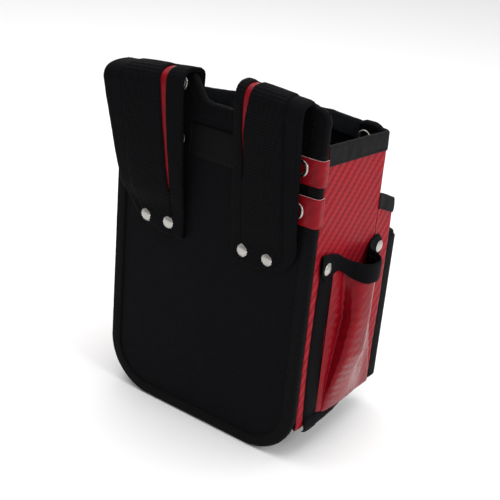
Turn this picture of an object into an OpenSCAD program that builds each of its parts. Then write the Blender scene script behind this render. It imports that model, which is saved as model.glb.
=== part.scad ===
// Waist pouch for an electrician's tools: a stiff back panel with two riveted belt loops,
// an open main bag, two shorter pockets stacked in front of it and a bellows pocket on each side.
// Origin: middle of the belt path on the panel's outer face. +X to the wearer's left,
// +Y towards the wearer, +Z up.

/* [Back panel] */
// Width of the panel and of the bag
panel_w = 200; // [170:5:230]
// Height of the panel's top edge in the middle, before the dip
panel_h = 301; // [295:1:310]
// Height of the top edge at the -X corner
near_corner_h = 299; // [285:1:305]
// Height of the top edge at the +X corner
far_corner_h = 292; // [285:1:305]
// Radius of the panel's two bottom corners
panel_corner_r = 45; // [25:5:60]
// Depth of the dip in the top edge between the loops
panel_dip = 21.5; // [5:0.5:24]
// Thickness of each fabric skin
skin_t = 1.5; // [1:0.1:2]
// Thickness of the stiffener board
board_t = 2; // [1:0.1:3]

/* [Belt loops] */
// Distance from the middle to the inner edge of the -X loop
near_loop_inner = 27; // [22:1:32]
// Distance from the middle to the inner edge of the +X loop
far_loop_inner = 23; // [22:1:32]
// Distance from the middle to the outer edge of each loop
loop_outer = 87; // [80:1:90]
// Height of the loops' lower edge above the panel's bottom
loop_bottom = 163; // [150:1:170]
// Height of the -X loop's fold at its inner edge
near_loop_top = 307.5; // [306:0.5:320]
// Height of the +X loop's fold at its inner edge
far_loop_top = 304.5; // [303:0.5:320]
// Bulge of the loop on the -X side, at its outer edge
near_bulge = 14; // [13:1:18]
// Bulge of the loop on the +X side, at its outer edge
far_bulge = 34; // [14:1:38]

/* [Main bag] */
// Depth of the bag, from the panel's outer face to the front wall's face
bag_depth = 98; // [80:1:110]
// Height of the bag's bottom above the panel's bottom
bag_bottom = 27.5; // [20:0.5:35]
// Height of the mouth at the back
mouth_back = 271; // [262:1:276]
// Height of the mouth at the front, at the -X corner
mouth_front = 266; // [255:1:270]
// How far the mouth drops from there to the +X corner
mouth_sag = 8; // [0:1:12]
// Thickness of the PVC walls
wall_t = 2; // [1.5:0.1:2.5]

/* [Front pockets] */
// Depth of the second pocket
second_depth = 26; // [20:1:34]
// Height of the second pocket's mouth at the front
second_mouth = 201; // [180:1:210]
// Depth of the third pocket
third_depth = 13; // [10:1:18]
// Height of the third pocket's mouth
third_mouth = 168; // [120:1:172]
// Number of slots in the third pocket
slots = 4; // [2:1:6]

/* [Side pockets] */
// How far the bow of each side pocket stands off the bag
side_bulge = 21.5; // [12:0.5:24]
// Height of the side pockets' mouth
side_mouth = 167; // [150:1:170]

/* [Fasteners] */
// Radius of the rivet caps
rivet_r = 6.3; // [4.5:0.1:6.5]
// Radius of the hole in each eyelet
eyelet_r = 3.75; // [3:0.05:4]

/* [Hidden] */

$fn = 48;
clear = 0.3;

half_w = panel_w / 2;
panel_t = 2 * skin_t + board_t;
belt_z = 275;
bore_front = 10;
bore_back = -10;
dip_x = -3;
dip_half_w = 30;
tape_t = 1.2;
tape_w = 9;
wrap_bottom = 262;
board_inset = 3;
label_corner = [-24, 235];
label_size = [48, 27];
label_t = 0.8;

// Loops: a ruled strip between an inner and an outer edge profile
loop_t = 3.4;
lining_t = 1;
loop_flat_top = 178;
loop_fold_z = 290;
loop_tail_z = 264;
loop_tail_y = -9.2;
loop_back_r = 4;
loop_fold_power = 0.65;
near_outer_drop = 3.3;
far_outer_drop = 3;
near_loop_corner_r = 25;
far_loop_corner_r = 38;
inner_bulge = 13;
stripe_a = 38;
stripe_half_w = 2.6;
border_min_a = 44;
near_stripe_tip = 231;
far_stripe_tip = 200;

rivet_z = 172.7;
loop_rivets_a = [38.8, 62.8];
rivet_post_r = 1.8;
rivet_cap_h = 2.6;
rivet_back_h = 1.2;
pocket_cap_h = 2.4;

tab_inner = 80;
tab_t = 1;
upper_tab = [241.6, 262.2];
lower_tab = [209, 232.5];
tab_eyelets_z = [253.2, 219.6];
tab_eyelet_a = 83;
// Panel eyelets as [height, distance of the flanges from the panel's faces]
panel_eyelets = [[291.5, tape_t + 0.1], [246, 0]];
panel_eyelet_a = 36.5;
eyelet_wall = 0.6;
flange_r = 7.25;
flange_t = 0.8;

bag_corner_r = 10;
mouth_tape_h = 15;
mouth_tape_t = 1;

second_y = bag_depth + clear;
second_front = second_y + second_depth;
third_y = second_front + clear;
third_front = third_y + third_depth;
pocket_tape_h = 12;
pocket_tape_t = 0.8;

side_x = half_w + clear;
side_wall_t = 1.5;
band_t = 1.6;
side_rivets = [[21.7, 170], [100.6, 167]];

// Plan of a side pocket at a few heights, as [distance from the panel, share of the bulge]:
// a flat rear part, a steep flank, the bow, and its front running back to the bag
side_heights = [bag_bottom, 60, 85, 120, side_mouth];
side_plans = [
    [[35, 0], [39, 0], [42, 0.01], [47, 0.03], [54, 0.04], [63, 0.05], [73, 0.05], [84, 0.04],
        [94, 0.03], [106, 0.01], [119, 0]],
    [[35, 0], [41, 0], [44, 0.13], [46, 0.33], [51, 0.5], [60, 0.55], [71, 0.5], [82, 0.35],
        [92, 0.18], [103, 0.05], [113, 0]],
    [[35, 0], [46, 0], [49, 0.18], [50, 0.48], [54, 0.78], [62, 0.88], [71, 0.83], [79, 0.58],
        [86, 0.28], [96, 0.05], [108, 0]],
    [[35, 0], [47, 0], [50, 0.18], [51, 0.58], [55, 0.9], [63, 1], [71, 0.95], [77, 0.63],
        [80, 0.28], [86, 0], [102, 0]],
    [[35, 0], [44, 0], [48, 0.18], [51.5, 0.58], [56, 0.9], [63, 1], [71, 0.97], [77, 0.7],
        [79.5, 0.28], [84, 0], [96, 0]]
];
// Outline of the mouth band in (y, z): the part that bows out, and its ends on the bag's side
band_bow = [[-33, 152.5], [-98, 152.5], [-98, 178], [-92, 177.5], [-84, 174], [-77, 170], [-55, 169.5],
    [-49, 171], [-44, 173.5], [-38, 177], [-33, 178.5]];
band_rear_end = [[-13.5, 182], [-33.2, 178.5], [-33.2, 152.5], [-18, 152.5], [-13.5, 160]];
band_front_end = [[-97.8, 178], [-100, 178], [-104, 172], [-105, 160], [-102, 154], [-97.8, 154]];
strip_outline = [[-18, 152.4], [-33.2, 152.4], [-33.2, bag_bottom + 2], [-20.5, 22], [-18, 34]];

strap_x = [-91, -73];
strap_eyelet = [-79, 257.5];

// ---------------------------------------------------------------- helpers

// Heights are counted from the panel's bottom edge; this puts the origin at the belt
module at_belt() { translate([0, 0, -belt_z]) children(); }

module both_sides() {
    children();
    mirror([1, 0, 0]) children();
}

// 2D outline in (x, z), given thickness from y0 down to y1
module plate(y0, y1) {
    translate([0, y0, 0]) rotate([90, 0, 0]) linear_extrude(y0 - y1) children();
}

// 2D outline in (y, z), swept along x from x0 to x1
module slab(x0, x1) {
    translate([x0, 0, 0]) rotate([90, 0, 90]) linear_extrude(x1 - x0) children();
}

// Round bar along y from y0 (front side, higher y) to y1
module rod_y(x, z, r, y0, y1) {
    translate([x, y0, z]) rotate([90, 0, 0]) cylinder(r = r, h = y0 - y1);
}

// Closed skin over rings with the same number of points, each clockwise seen from the last ring
module skin(rings) {
    n = len(rings[0]);
    m = len(rings);
    points = [for (ring = rings) each ring];
    sides = [for (k = [0:m - 2], i = [0:n - 1])
        let (j = (i + 1) % n)
        each [[k * n + i, k * n + j, (k + 1) * n + j], [k * n + i, (k + 1) * n + j, (k + 1) * n + i]]];
    first = [for (i = [0:n - 1]) n - 1 - i];
    last = [for (i = [0:n - 1]) (m - 1) * n + i];
    polyhedron(points, concat([first, last], sides), convexity = 6);
}

function lerp(a, b, t) = a + (b - a) * t;
function clamp01(t) = min(1, max(0, t));
function arc(cx, cy, r, a0, a1, n = 10) =
    [for (i = [0:n]) let (a = lerp(a0, a1, i / n)) [cx + r * cos(a), cy + r * sin(a)]];

// Height of the panel's top edge
function top_z(x) =
    let (t = (x - dip_x) / dip_half_w, corner_h = x < 0 ? near_corner_h : far_corner_h)
    lerp(panel_h, corner_h, abs(x) / half_w) - (abs(t) < 1 ? panel_dip * pow(1 - pow(t, 4), 2) : 0);

// The panel's outline in (x, z), drawn in by inset
module panel_outline(inset) {
    w = half_w - inset;
    r = panel_corner_r - inset;
    c = half_w - panel_corner_r;
    polygon(concat(
        arc(-c, panel_corner_r, r, 180, 270),
        arc(c, panel_corner_r, r, 270, 360),
        [for (i = [0:50]) let (x = lerp(w, -w, i / 50)) [x, top_z(x) - inset]]
    ));
}

module rivet_bores() {
    for (a = loop_rivets_a) rod_y(a, rivet_z, rivet_post_r, bore_front, bore_back);
}

module panel_holes() {
    both_sides() {
        rivet_bores();
        for (z = tab_eyelets_z) rod_y(tab_eyelet_a, z, eyelet_r + eyelet_wall, bore_front, bore_back);
        for (e = panel_eyelets) rod_y(panel_eyelet_a, e[0], eyelet_r + eyelet_wall, bore_front, bore_back);
    }
}

// U-shaped plan from y = -back to y = -depth, half as wide as w, with its front corners rounded
module pocket_plan(depth, w, back, r) {
    polygon(concat(
        [[-w, -back]],
        arc(-w + r, -depth + r, r, 180, 270, 6),
        arc(w - r, -depth + r, r, 270, 360, 6),
        [[w, -back]]
    ));
}

// The same for the full width of the bag, drawn in by inset
module bag_plan(depth, inset, back = 0) {
    pocket_plan(depth - inset, half_w - inset, back, bag_corner_r - inset);
}

// Everything under a mouth that slopes from z0 at y = -y0 to z1 at y = -y1
module under_mouth(y0, z0, y1, z1, bottom) {
    slab(-half_w - 30, half_w + 30) {
        polygon([[-y0, bottom], [-y1, bottom], [-y1, z1], [-y0, z0]]);
    }
}

// ---------------------------------------------------------------- back panel

module stiffener_board() {
    color("dimgray") at_belt() difference() {
        plate(-skin_t, -skin_t - board_t) panel_outline(board_inset);
        panel_holes();
    }
}

module back_panel_outer() {
    color("#151517") at_belt() difference() {
        plate(0, -skin_t) panel_outline(0);
        panel_holes();
    }
}

module back_panel_inner() {
    color("#1b1b1e") at_belt() difference() {
        plate(-skin_t - board_t, -panel_t) panel_outline(0);
        panel_holes();
    }
}

// Tape folded over the whole edge of the panel
module panel_tape() {
    difference() {
        plate(tape_t, -panel_t - tape_t) difference() {
            panel_outline(-tape_t);
            panel_outline(tape_w);
        }
        plate(0, -panel_t) panel_outline(0);
    }
}

module above(z) { translate([-half_w - 20, -40, z]) cube([panel_w + 40, 80, 200]); }

module panel_binding() {
    color("#202024") at_belt() difference() {
        panel_tape();
        above(wrap_bottom);
        panel_holes();
    }
}

module panel_top_binding() {
    color("#1d1d20") at_belt() difference() {
        intersection() {
            panel_tape();
            above(wrap_bottom);
        }
        panel_holes();
    }
}

module label_patch() {
    color("#2c2f2d") at_belt() plate(label_t, 0) translate(label_corner) square(label_size);
}

// Tab that hooks round the panel's edge over the tape
module edge_tab(zs) {
    edge = half_w + tape_t;
    face = tape_t + 0.1;
    translate([0, 0, zs[0]]) linear_extrude(zs[1] - zs[0]) polygon([
        [tab_inner, face], [edge + 0.1, face], [edge + 0.1, -panel_t],
        [edge + 0.1 + tab_t, -panel_t], [edge + 0.1 + tab_t, face + tab_t],
        [tab_inner, face + tab_t]
    ]);
}

module upper_edge_tabs() {
    color("#a81c30") at_belt() difference() {
        both_sides() edge_tab(upper_tab);
        panel_holes();
    }
}

module lower_edge_tabs() {
    color("#a81c30") at_belt() difference() {
        both_sides() edge_tab(lower_tab);
        panel_holes();
    }
}

// Flanged barrel: flange outside at y0, barrel down to y1
module eyelet(x, z, y0, y1) {
    translate([x, y0, z]) rotate([90, 0, 0]) difference() {
        union() {
            translate([0, 0, -flange_t]) cylinder(r = flange_r, h = flange_t);
            cylinder(r = eyelet_r + eyelet_wall, h = y0 - y1);
        }
        translate([0, 0, -5]) cylinder(r = eyelet_r, h = 40);
    }
}

// Washer that the barrel's end is rolled over, on the face at y
module eyelet_washer(x, z, y) {
    translate([x, y, z]) rotate([90, 0, 0]) difference() {
        cylinder(r = flange_r, h = flange_t);
        translate([0, 0, -1]) cylinder(r = eyelet_r + eyelet_wall, h = 4);
    }
}

module eyelet_barrels() {
    face = tape_t + 0.1 + tab_t;
    color("silver") at_belt() both_sides() {
        for (z = tab_eyelets_z) eyelet(tab_eyelet_a, z, face, -panel_t - flange_t);
        for (e = panel_eyelets) eyelet(panel_eyelet_a, e[0], e[1], -panel_t - e[1] - flange_t);
    }
}

module eyelet_washers() {
    color("silver") at_belt() both_sides() {
        for (z = tab_eyelets_z) eyelet_washer(tab_eyelet_a, z, -panel_t);
        for (e = panel_eyelets) eyelet_washer(panel_eyelet_a, e[0], -panel_t - e[1]);
    }
}

// ---------------------------------------------------------------- belt loops

// Middle line of a loop in (y, z) for a given bulge and top: flat, flare, fold and tail
function loop_flare(t) = let (s = clamp01(t / 0.2)) pow(t, 0.8) * s * s * (3 - 2 * s);
function loop_line(bulge, top) =
    let (y0 = loop_t / 2 + 0.1, crest = top - loop_t / 2,
        fold = min(loop_fold_z, crest - loop_back_r),
        front_y = (bulge + loop_tail_y) / 2, back_y = loop_tail_y + loop_back_r)
    concat(
        [for (t = [0, 0.3, 0.6, 1]) [y0, lerp(loop_bottom, loop_flat_top, t)]],
        [for (i = [1:10]) let (t = i / 10)
            [lerp(y0, bulge, loop_flare(t)), lerp(loop_flat_top, fold, t)]],
        [for (i = [1:6]) let (a = 15 * i)
            [lerp(front_y, bulge, pow(cos(a), loop_fold_power)),
                lerp(fold, crest, pow(sin(a), loop_fold_power))]],
        [for (i = [0:4]) let (a = 90 + 22.5 * i)
            [back_y + loop_back_r * cos(a), crest - loop_back_r + loop_back_r * sin(a)]],
        [[loop_tail_y, loop_tail_z]]
    );

// Shape of one loop: bulge at the outer edge, fold height at the inner and outer edge, corner
// radius, height of the stripe's tip, distance from the middle to the inner edge
near_shape = [near_bulge, near_loop_top, near_loop_top - near_outer_drop, near_loop_corner_r,
    near_stripe_tip, near_loop_inner];
far_shape = [far_bulge, far_loop_top, far_loop_top - far_outer_drop, far_loop_corner_r,
    far_stripe_tip, far_loop_inner];

// Point at distance a from the middle, station k, raised by t off the middle line
function loop_point(a, k, t, shape) =
    let (s = (a - shape[5]) / (loop_outer - shape[5]),
        line = loop_line(lerp(inner_bulge, shape[0], s), lerp(shape[1], shape[2], s)),
        d = line[min(k + 1, len(line) - 1)] - line[max(k - 1, 0)],
        n = [d[1], -d[0]] / norm(d))
    [a, line[k][0] + n[0] * t, line[k][1] + n[1] * t];

loop_stations = len(loop_line(10, near_loop_top));
function on_front(k) = k <= 13;
function station_z(k) = on_front(k) ? loop_line(10, near_loop_top)[k][1] : loop_fold_z;

// Outer edge, rounded at the bottom corner
function outer_a(k, r) = let (drop = max(0, loop_bottom + r - station_z(k)))
    loop_outer - r + sqrt(max(0, pow(r, 2) - pow(drop, 2)));
function border_a(k, r) =
    let (w = lerp(12, 20, clamp01((station_z(k) - loop_flat_top) / (loop_fold_z - loop_flat_top))))
    max(border_min_a, outer_a(k, r) - w);
function stripe_w(k, tip) = stripe_half_w * clamp01((station_z(k) - tip) / (loop_fold_z - tip));

// Strip of a loop between the distances a0[k] and a1[k] and the layers t0 and t1
module loop_strip(a0, a1, t0, t1, shape) {
    skin([for (k = [0:loop_stations - 1]) [
        loop_point(a0[k], k, t1, shape), loop_point(a1[k], k, t1, shape),
        loop_point(a1[k], k, t0, shape), loop_point(a0[k], k, t0, shape)
    ]]);
}

all_k = [for (k = [0:loop_stations - 1]) k];
base_t = -loop_t / 2;
top_t = loop_t / 2;
function inner_line(shape) = [for (k = all_k) shape[5]];
function border_line(shape) = [for (k = all_k) border_a(k, shape[3])];
function outer_line(shape) = [for (k = all_k) outer_a(k, shape[3])];
function stripe_edge(shape, side) = [for (k = all_k) stripe_a + side * stripe_w(k, shape[4])];

// One loop; part says which of its pieces to draw
module loop_piece(part, shape) {
    difference() {
        if (part == "lining")
            loop_strip(inner_line(shape), border_line(shape), base_t, base_t + lining_t, shape);
        else if (part == "webbing")
            loop_strip(stripe_edge(shape, 1), border_line(shape), base_t + lining_t, top_t, shape);
        else if (part == "inner_strip")
            loop_strip(inner_line(shape), stripe_edge(shape, -1), base_t + lining_t, top_t, shape);
        else loop_strip(border_line(shape), outer_line(shape), base_t, top_t, shape);
        rivet_bores();
    }
}

module near_loop(part) { at_belt() mirror([1, 0, 0]) loop_piece(part, near_shape); }
module far_loop(part) { at_belt() loop_piece(part, far_shape); }

module near_loop_lining() { color("#b5203a") near_loop("lining"); }
module near_loop_webbing() { color("#26262a") near_loop("webbing"); }
module near_loop_inner_strip() { color("#26262a") near_loop("inner_strip"); }
module near_loop_border() { color("#18181b") near_loop("border"); }
module far_loop_lining() { color("#b5203a") far_loop("lining"); }
module far_loop_webbing() { color("#26262a") far_loop("webbing"); }
module far_loop_inner_strip() { color("#26262a") far_loop("inner_strip"); }
module far_loop_border() { color("#18181b") far_loop("border"); }

// Domed cap with its flat side down, along +z
module rivet_cap(r, h) {
    sphere_r = (r * r + h * h) / (2 * h);
    difference() {
        translate([0, 0, h - sphere_r]) sphere(r = sphere_r);
        translate([0, 0, -2 * sphere_r]) cube(4 * sphere_r, center = true);
    }
}

module loop_rivet_caps() {
    color("gainsboro") at_belt() both_sides() for (a = loop_rivets_a)
        translate([a, loop_t + 0.1, rivet_z]) rotate([-90, 0, 0]) rivet_cap(rivet_r, rivet_cap_h);
}

module loop_rivet_posts() {
    color("darkgray") at_belt() both_sides() for (a = loop_rivets_a)
        rod_y(a, rivet_z, rivet_post_r, loop_t + 0.1, -panel_t);
}

module loop_rivet_washers() {
    color("darkgray") at_belt() both_sides() for (a = loop_rivets_a)
        rod_y(a, rivet_z, rivet_r - 1, -panel_t, -panel_t - rivet_back_h);
}

// ---------------------------------------------------------------- main bag

bag_back = panel_t + tape_t + 0.1;

// Height of the main mouth along the front wall: a slight rise, then a sag to the +X corner
mouth_line = [[-half_w - 30, 0], [-half_w, 0], [-45, 4], [0, 2.5], [half_w, -mouth_sag],
    [half_w + 30, -mouth_sag]];

// Everything under the main mouth, moved up by lift
module under_main_mouth(lift, y0, y1, bottom) {
    skin([for (p = mouth_line) let (z1 = mouth_front + p[1] + lift) [
        [p[0], -y1, bottom], [p[0], -y1, z1], [p[0], -y0, mouth_back + lift], [p[0], -y0, bottom]
    ]]);
}

module bag_walls() {
    intersection() {
        linear_extrude(panel_h) difference() {
            bag_plan(bag_depth, 0, bag_back);
            bag_plan(bag_depth, wall_t);
        }
        under_main_mouth(0, bag_back, bag_depth + 1, bag_bottom);
    }
}

module strip_x(x0, x1) { translate([x0, -200, 0]) cube([x1 - x0, 250, 400]); }

module side_wall() {
    difference() {
        intersection() {
            bag_walls();
            strip_x(half_w - bag_corner_r, half_w + 1);
        }
        side_rivet_bores();
    }
}

module near_side_wall() { color("#a81c30") at_belt() mirror([1, 0, 0]) side_wall(); }
module far_side_wall() { color("#a81c30") at_belt() side_wall(); }

module front_wall() {
    color("#a81c30") at_belt() difference() {
        intersection() {
            bag_walls();
            strip_x(bag_corner_r - half_w, half_w - bag_corner_r);
        }
        hanger_bore();
    }
}

module bottom_panel() {
    color("#1b1b1e") at_belt() translate([0, 0, bag_bottom]) linear_extrude(wall_t)
        bag_plan(bag_depth, wall_t + 0.1, bag_back);
}

module mouth_binding() {
    color("#18181b") at_belt() difference() {
        intersection() {
            linear_extrude(panel_h) difference() {
                bag_plan(bag_depth, -mouth_tape_t, bag_back);
                bag_plan(bag_depth, wall_t + mouth_tape_t);
            }
            under_main_mouth(mouth_tape_t, bag_back, bag_depth + 2, 200);
        }
        under_main_mouth(-mouth_tape_h, bag_back - 1, bag_depth + 2, bag_bottom);
        bag_walls();
        hanger_bore();
    }
}

// Strap folded over the front wall's mouth near one corner
hanger_in = bag_depth - wall_t - mouth_tape_t - 0.2;
hanger_out = bag_depth + mouth_tape_t + 0.2;
hanger_t = 1.5;
hanger_top = mouth_front + mouth_tape_t + 2.6;
hanger_bottom = 226;
hanger_inner_end = 240;

module hanger_bore() {
    rod_y(strap_eyelet[0], strap_eyelet[1], eyelet_r + eyelet_wall, -80, -bag_depth - 10);
}

module hanger_strap() {
    color("#3a3a3e") at_belt() difference() {
        slab(strap_x[0], strap_x[1])
            polygon([
                [-hanger_in + hanger_t, hanger_inner_end], [-hanger_in + hanger_t, hanger_top + hanger_t],
                [-hanger_out - hanger_t, hanger_top + hanger_t], [-hanger_out - hanger_t, hanger_bottom],
                [-hanger_out, hanger_bottom], [-hanger_out, hanger_top],
                [-hanger_in, hanger_top], [-hanger_in, hanger_inner_end]
            ]);
        hanger_bore();
    }
}

module hanger_eyelet() {
    color("silver") at_belt() {
        eyelet(strap_eyelet[0], strap_eyelet[1], -hanger_in + hanger_t, -hanger_out - hanger_t - flange_t);
        eyelet_washer(strap_eyelet[0], strap_eyelet[1], -hanger_out - hanger_t);
    }
}

// ---------------------------------------------------------------- second pocket

second_slope = 0.45;
second_back_mouth = second_mouth + second_slope * second_depth;

module second_walls() {
    intersection() {
        linear_extrude(panel_h) difference() {
            bag_plan(second_front, 0, second_y);
            bag_plan(second_front, wall_t);
        }
        under_mouth(second_y, second_back_mouth, second_front + 1, second_mouth, bag_bottom);
    }
}

module second_gusset() {
    difference() {
        intersection() {
            second_walls();
            strip_x(half_w - bag_corner_r, half_w + 1);
        }
        side_rivet_bores();
    }
}

module near_second_gusset() { color("#a81c30") at_belt() mirror([1, 0, 0]) second_gusset(); }
module far_second_gusset() { color("#a81c30") at_belt() second_gusset(); }

module second_pocket_front() {
    color("#a81c30") at_belt() intersection() {
        second_walls();
        strip_x(bag_corner_r - half_w, half_w - bag_corner_r);
    }
}

module second_pocket_bottom() {
    color("#1b1b1e") at_belt() translate([0, 0, bag_bottom]) linear_extrude(wall_t)
        bag_plan(second_front, wall_t + 0.1, second_y);
}

// Mouth tape of the second pocket, on the outside and over the edge
module second_pocket_binding() {
    color("#18181b") at_belt() difference() {
        intersection() {
            linear_extrude(panel_h) difference() {
                bag_plan(second_front, -pocket_tape_t, second_y);
                bag_plan(second_front, wall_t + pocket_tape_t);
            }
            under_mouth(second_y, second_back_mouth + 1, second_front + 2, second_mouth + 1, 100);
        }
        translate([0, 0, -pocket_tape_h])
            under_mouth(0, second_back_mouth + second_y * second_slope, second_front + 3, second_mouth, 0);
        second_walls();
    }
}

// ---------------------------------------------------------------- third pocket

third_w = half_w - 2;
third_corner_r = 6;
third_inner_front = third_front - wall_t;
third_back_mouth = third_mouth + 7;
divider_t = 1.5;

// Plan of the third pocket, drawn in by inset
module third_plan(inset, back) {
    pocket_plan(third_front - inset, third_w - inset, back, third_corner_r - inset);
}

module third_shell() {
    intersection() {
        linear_extrude(panel_h) difference() {
            third_plan(0, third_y);
            third_plan(wall_t, 0);
        }
        under_mouth(third_y, third_back_mouth, third_front + 1, third_mouth, bag_bottom);
    }
}

module third_pocket_front() { color("#202024") at_belt() third_shell(); }

module third_pocket_bottom() {
    color("#202024") at_belt() translate([0, 0, bag_bottom]) linear_extrude(wall_t)
        third_plan(wall_t + 0.1, third_y);
}

module third_pocket_binding() {
    color("#2a2a2e") at_belt() difference() {
        intersection() {
            linear_extrude(panel_h) difference() {
                third_plan(-pocket_tape_t, third_y);
                third_plan(wall_t + pocket_tape_t, 0);
            }
            under_mouth(third_y, third_back_mouth + 1, third_front + 2, third_mouth + 1, 100);
        }
        translate([0, 0, -pocket_tape_h])
            under_mouth(0, third_back_mouth + 60, third_front + 3, third_mouth, 0);
        third_shell();
    }
}

// Folded webbing sewn between the layers, one wall between each pair of slots
module third_pocket_dividers() {
    pitch = 2 * (third_w - wall_t) / slots;
    top = third_mouth - pocket_tape_h - 2;
    foot = bag_bottom + wall_t;
    color("#2a2a2e") at_belt() for (i = [1:slots - 1])
        translate([-third_w + wall_t + i * pitch - divider_t / 2, -third_inner_front + 0.1, foot])
            cube([divider_t, third_inner_front - third_y - 0.2, top - foot]);
}

// ---------------------------------------------------------------- side pockets

// Plan of a side pocket as (x, y) points: station k of the table, drawn in by inset
function side_point(plan, i, inset) =
    let (n = len(plan) - 1,
        at = [for (p = plan) [side_x + lerp(side_wall_t, side_bulge, p[1]), -p[0]]],
        d = at[min(i + 1, n)] - at[max(i - 1, 0)],
        out = [-d[1], d[0]] / norm(d))
    i == 0 ? at[0] + [-inset, -inset]
    : i == n ? at[n] + [-inset, inset]
    : at[i] - out * inset;

// One closed ring at height z, from x = base outwards
function side_ring(plan, z, inset, base) =
    let (n = len(plan) - 1, line = [for (i = [0:n]) side_point(plan, i, inset)])
    concat(
        [[base, line[0][1], z]],
        [for (p = line) [p[0], p[1], z]],
        [[base, line[n][1], z]]
    );

// The pocket's form between its lowest height plus foot and its mouth plus rise
module side_solid(foot, rise, inset, base) {
    n = len(side_heights) - 1;
    skin([for (k = [0:n])
        let (z = side_heights[k] + (k == 0 ? foot : k == n ? rise : 0))
        side_ring(side_plans[k], z, inset, base)]);
}

module side_rivet_bores() {
    for (p = side_rivets) translate([half_w - 10, -p[0], p[1]]) rotate([0, 90, 0])
        cylinder(r = rivet_post_r, h = 20);
}

module side_pocket() {
    difference() {
        side_solid(0, 0, 0, side_x);
        side_solid(wall_t, 2, side_wall_t + 0.1, side_x - 1);
    }
}

// Mouth band: a bow round the pocket, and a flat end on the bag's side at each rivet
module pocket_band() {
    difference() {
        union() {
            intersection() {
                difference() {
                    side_solid(0, 14, -band_t - 0.1, side_x);
                    side_solid(-1, 15, -0.1, side_x - 1);
                }
                slab(side_x, side_x + 40) polygon(band_bow);
            }
            slab(side_x, side_x + band_t) {
                polygon(band_rear_end);
                polygon(band_front_end);
            }
        }
        side_rivet_bores();
    }
}

// Strip of tape down the rear edge of the pocket
module pocket_strip() { slab(side_x, side_x + band_t) polygon(strip_outline); }

module near_side_pocket() { color("#b02038") at_belt() mirror([1, 0, 0]) side_pocket(); }
module near_pocket_band() { color("#18181b") at_belt() mirror([1, 0, 0]) pocket_band(); }
module near_pocket_strip() { color("#18181b") at_belt() mirror([1, 0, 0]) pocket_strip(); }
module far_side_pocket() { color("#b02038") at_belt() side_pocket(); }
module far_pocket_band() { color("#18181b") at_belt() pocket_band(); }
module far_pocket_strip() { color("#18181b") at_belt() pocket_strip(); }

// Round bar along x at each side-pocket rivet, from x0 to x1
module side_bars(r, x0, x1) {
    both_sides() for (p = side_rivets)
        translate([x0, -p[0], p[1]]) rotate([0, 90, 0]) cylinder(r = r, h = x1 - x0);
}

module pocket_rivet_caps() {
    color("gainsboro") at_belt() both_sides() for (p = side_rivets)
        translate([side_x + band_t, -p[0], p[1]]) rotate([0, 90, 0]) rivet_cap(rivet_r, pocket_cap_h);
}

module pocket_rivet_posts() {
    color("darkgray") at_belt() side_bars(rivet_post_r, half_w - wall_t, side_x + band_t);
}

module pocket_rivet_washers() {
    color("darkgray") at_belt()
        side_bars(rivet_r - 1, half_w - wall_t - rivet_back_h, half_w - wall_t);
}

stiffener_board();
back_panel_outer();
back_panel_inner();
panel_binding();
panel_top_binding();
label_patch();
upper_edge_tabs();
lower_edge_tabs();
eyelet_barrels();
eyelet_washers();
near_loop_lining();
near_loop_webbing();
near_loop_inner_strip();
near_loop_border();
far_loop_lining();
far_loop_webbing();
far_loop_inner_strip();
far_loop_border();
loop_rivet_caps();
loop_rivet_posts();
loop_rivet_washers();
near_side_wall();
far_side_wall();
front_wall();
bottom_panel();
mouth_binding();
hanger_strap();
hanger_eyelet();
second_pocket_front();
near_second_gusset();
far_second_gusset();
second_pocket_bottom();
second_pocket_binding();
third_pocket_front();
third_pocket_bottom();
third_pocket_binding();
third_pocket_dividers();
near_side_pocket();
near_pocket_band();
near_pocket_strip();
far_side_pocket();
far_pocket_band();
far_pocket_strip();
pocket_rivet_caps();
pocket_rivet_posts();
pocket_rivet_washers();
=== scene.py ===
import math

import bmesh
import bpy
import numpy as np
from mathutils import Matrix, Vector, noise


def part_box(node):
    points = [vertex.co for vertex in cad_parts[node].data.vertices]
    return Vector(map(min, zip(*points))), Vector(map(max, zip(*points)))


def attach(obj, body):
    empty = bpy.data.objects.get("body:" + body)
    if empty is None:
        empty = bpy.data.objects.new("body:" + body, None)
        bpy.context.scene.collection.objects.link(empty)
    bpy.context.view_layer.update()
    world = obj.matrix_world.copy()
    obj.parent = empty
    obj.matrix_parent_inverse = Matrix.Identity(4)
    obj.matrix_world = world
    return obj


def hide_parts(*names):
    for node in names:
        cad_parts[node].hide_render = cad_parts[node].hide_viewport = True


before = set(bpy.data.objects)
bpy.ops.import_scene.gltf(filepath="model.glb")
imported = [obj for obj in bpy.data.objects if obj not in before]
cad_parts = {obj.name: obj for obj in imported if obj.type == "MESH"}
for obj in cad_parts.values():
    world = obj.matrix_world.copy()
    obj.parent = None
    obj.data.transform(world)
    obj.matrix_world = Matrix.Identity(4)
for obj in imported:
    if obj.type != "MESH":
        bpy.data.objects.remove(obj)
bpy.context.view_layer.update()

# ------------------------------------------------------------------ frame and sizes (millimetres)

MM = 0.001


def box_mm(node):
    """Lowest and highest corner of a CAD node in millimetres, with heights from the panel's bottom."""
    lo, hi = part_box(node)
    return (
        np.array([lo[0] / MM, lo[1] / MM, lo[2] / MM - BASE_Z]),
        np.array([hi[0] / MM, hi[1] / MM, hi[2] / MM - BASE_Z]),
    )


BASE_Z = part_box("back_panel_outer")[0][2] / MM
HALF_W = box_mm("back_panel_outer")[1][0]
PANEL_BACK = box_mm("back_panel_inner")[0][1]
# Radii of the panel's lower and upper corners
PANEL_R, TOP_R = 45.0, 9.0
# Height of the top edge at both ends and in the middle, then its dip
NEAR_CORNER, FAR_CORNER, CROWN = 299.0, 292.0, 301.0
DIP_X, DIP_HALF, DIP = -3.0, 30.0, 21.5
TAPE_T, TAPE_W = 1.2, 10.0
# The top tape is bunched up a little where it climbs out of the dip
BUNCH_X, BUNCH_WIDE, BUNCH = 25.0, 7.0, 1.6

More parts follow.
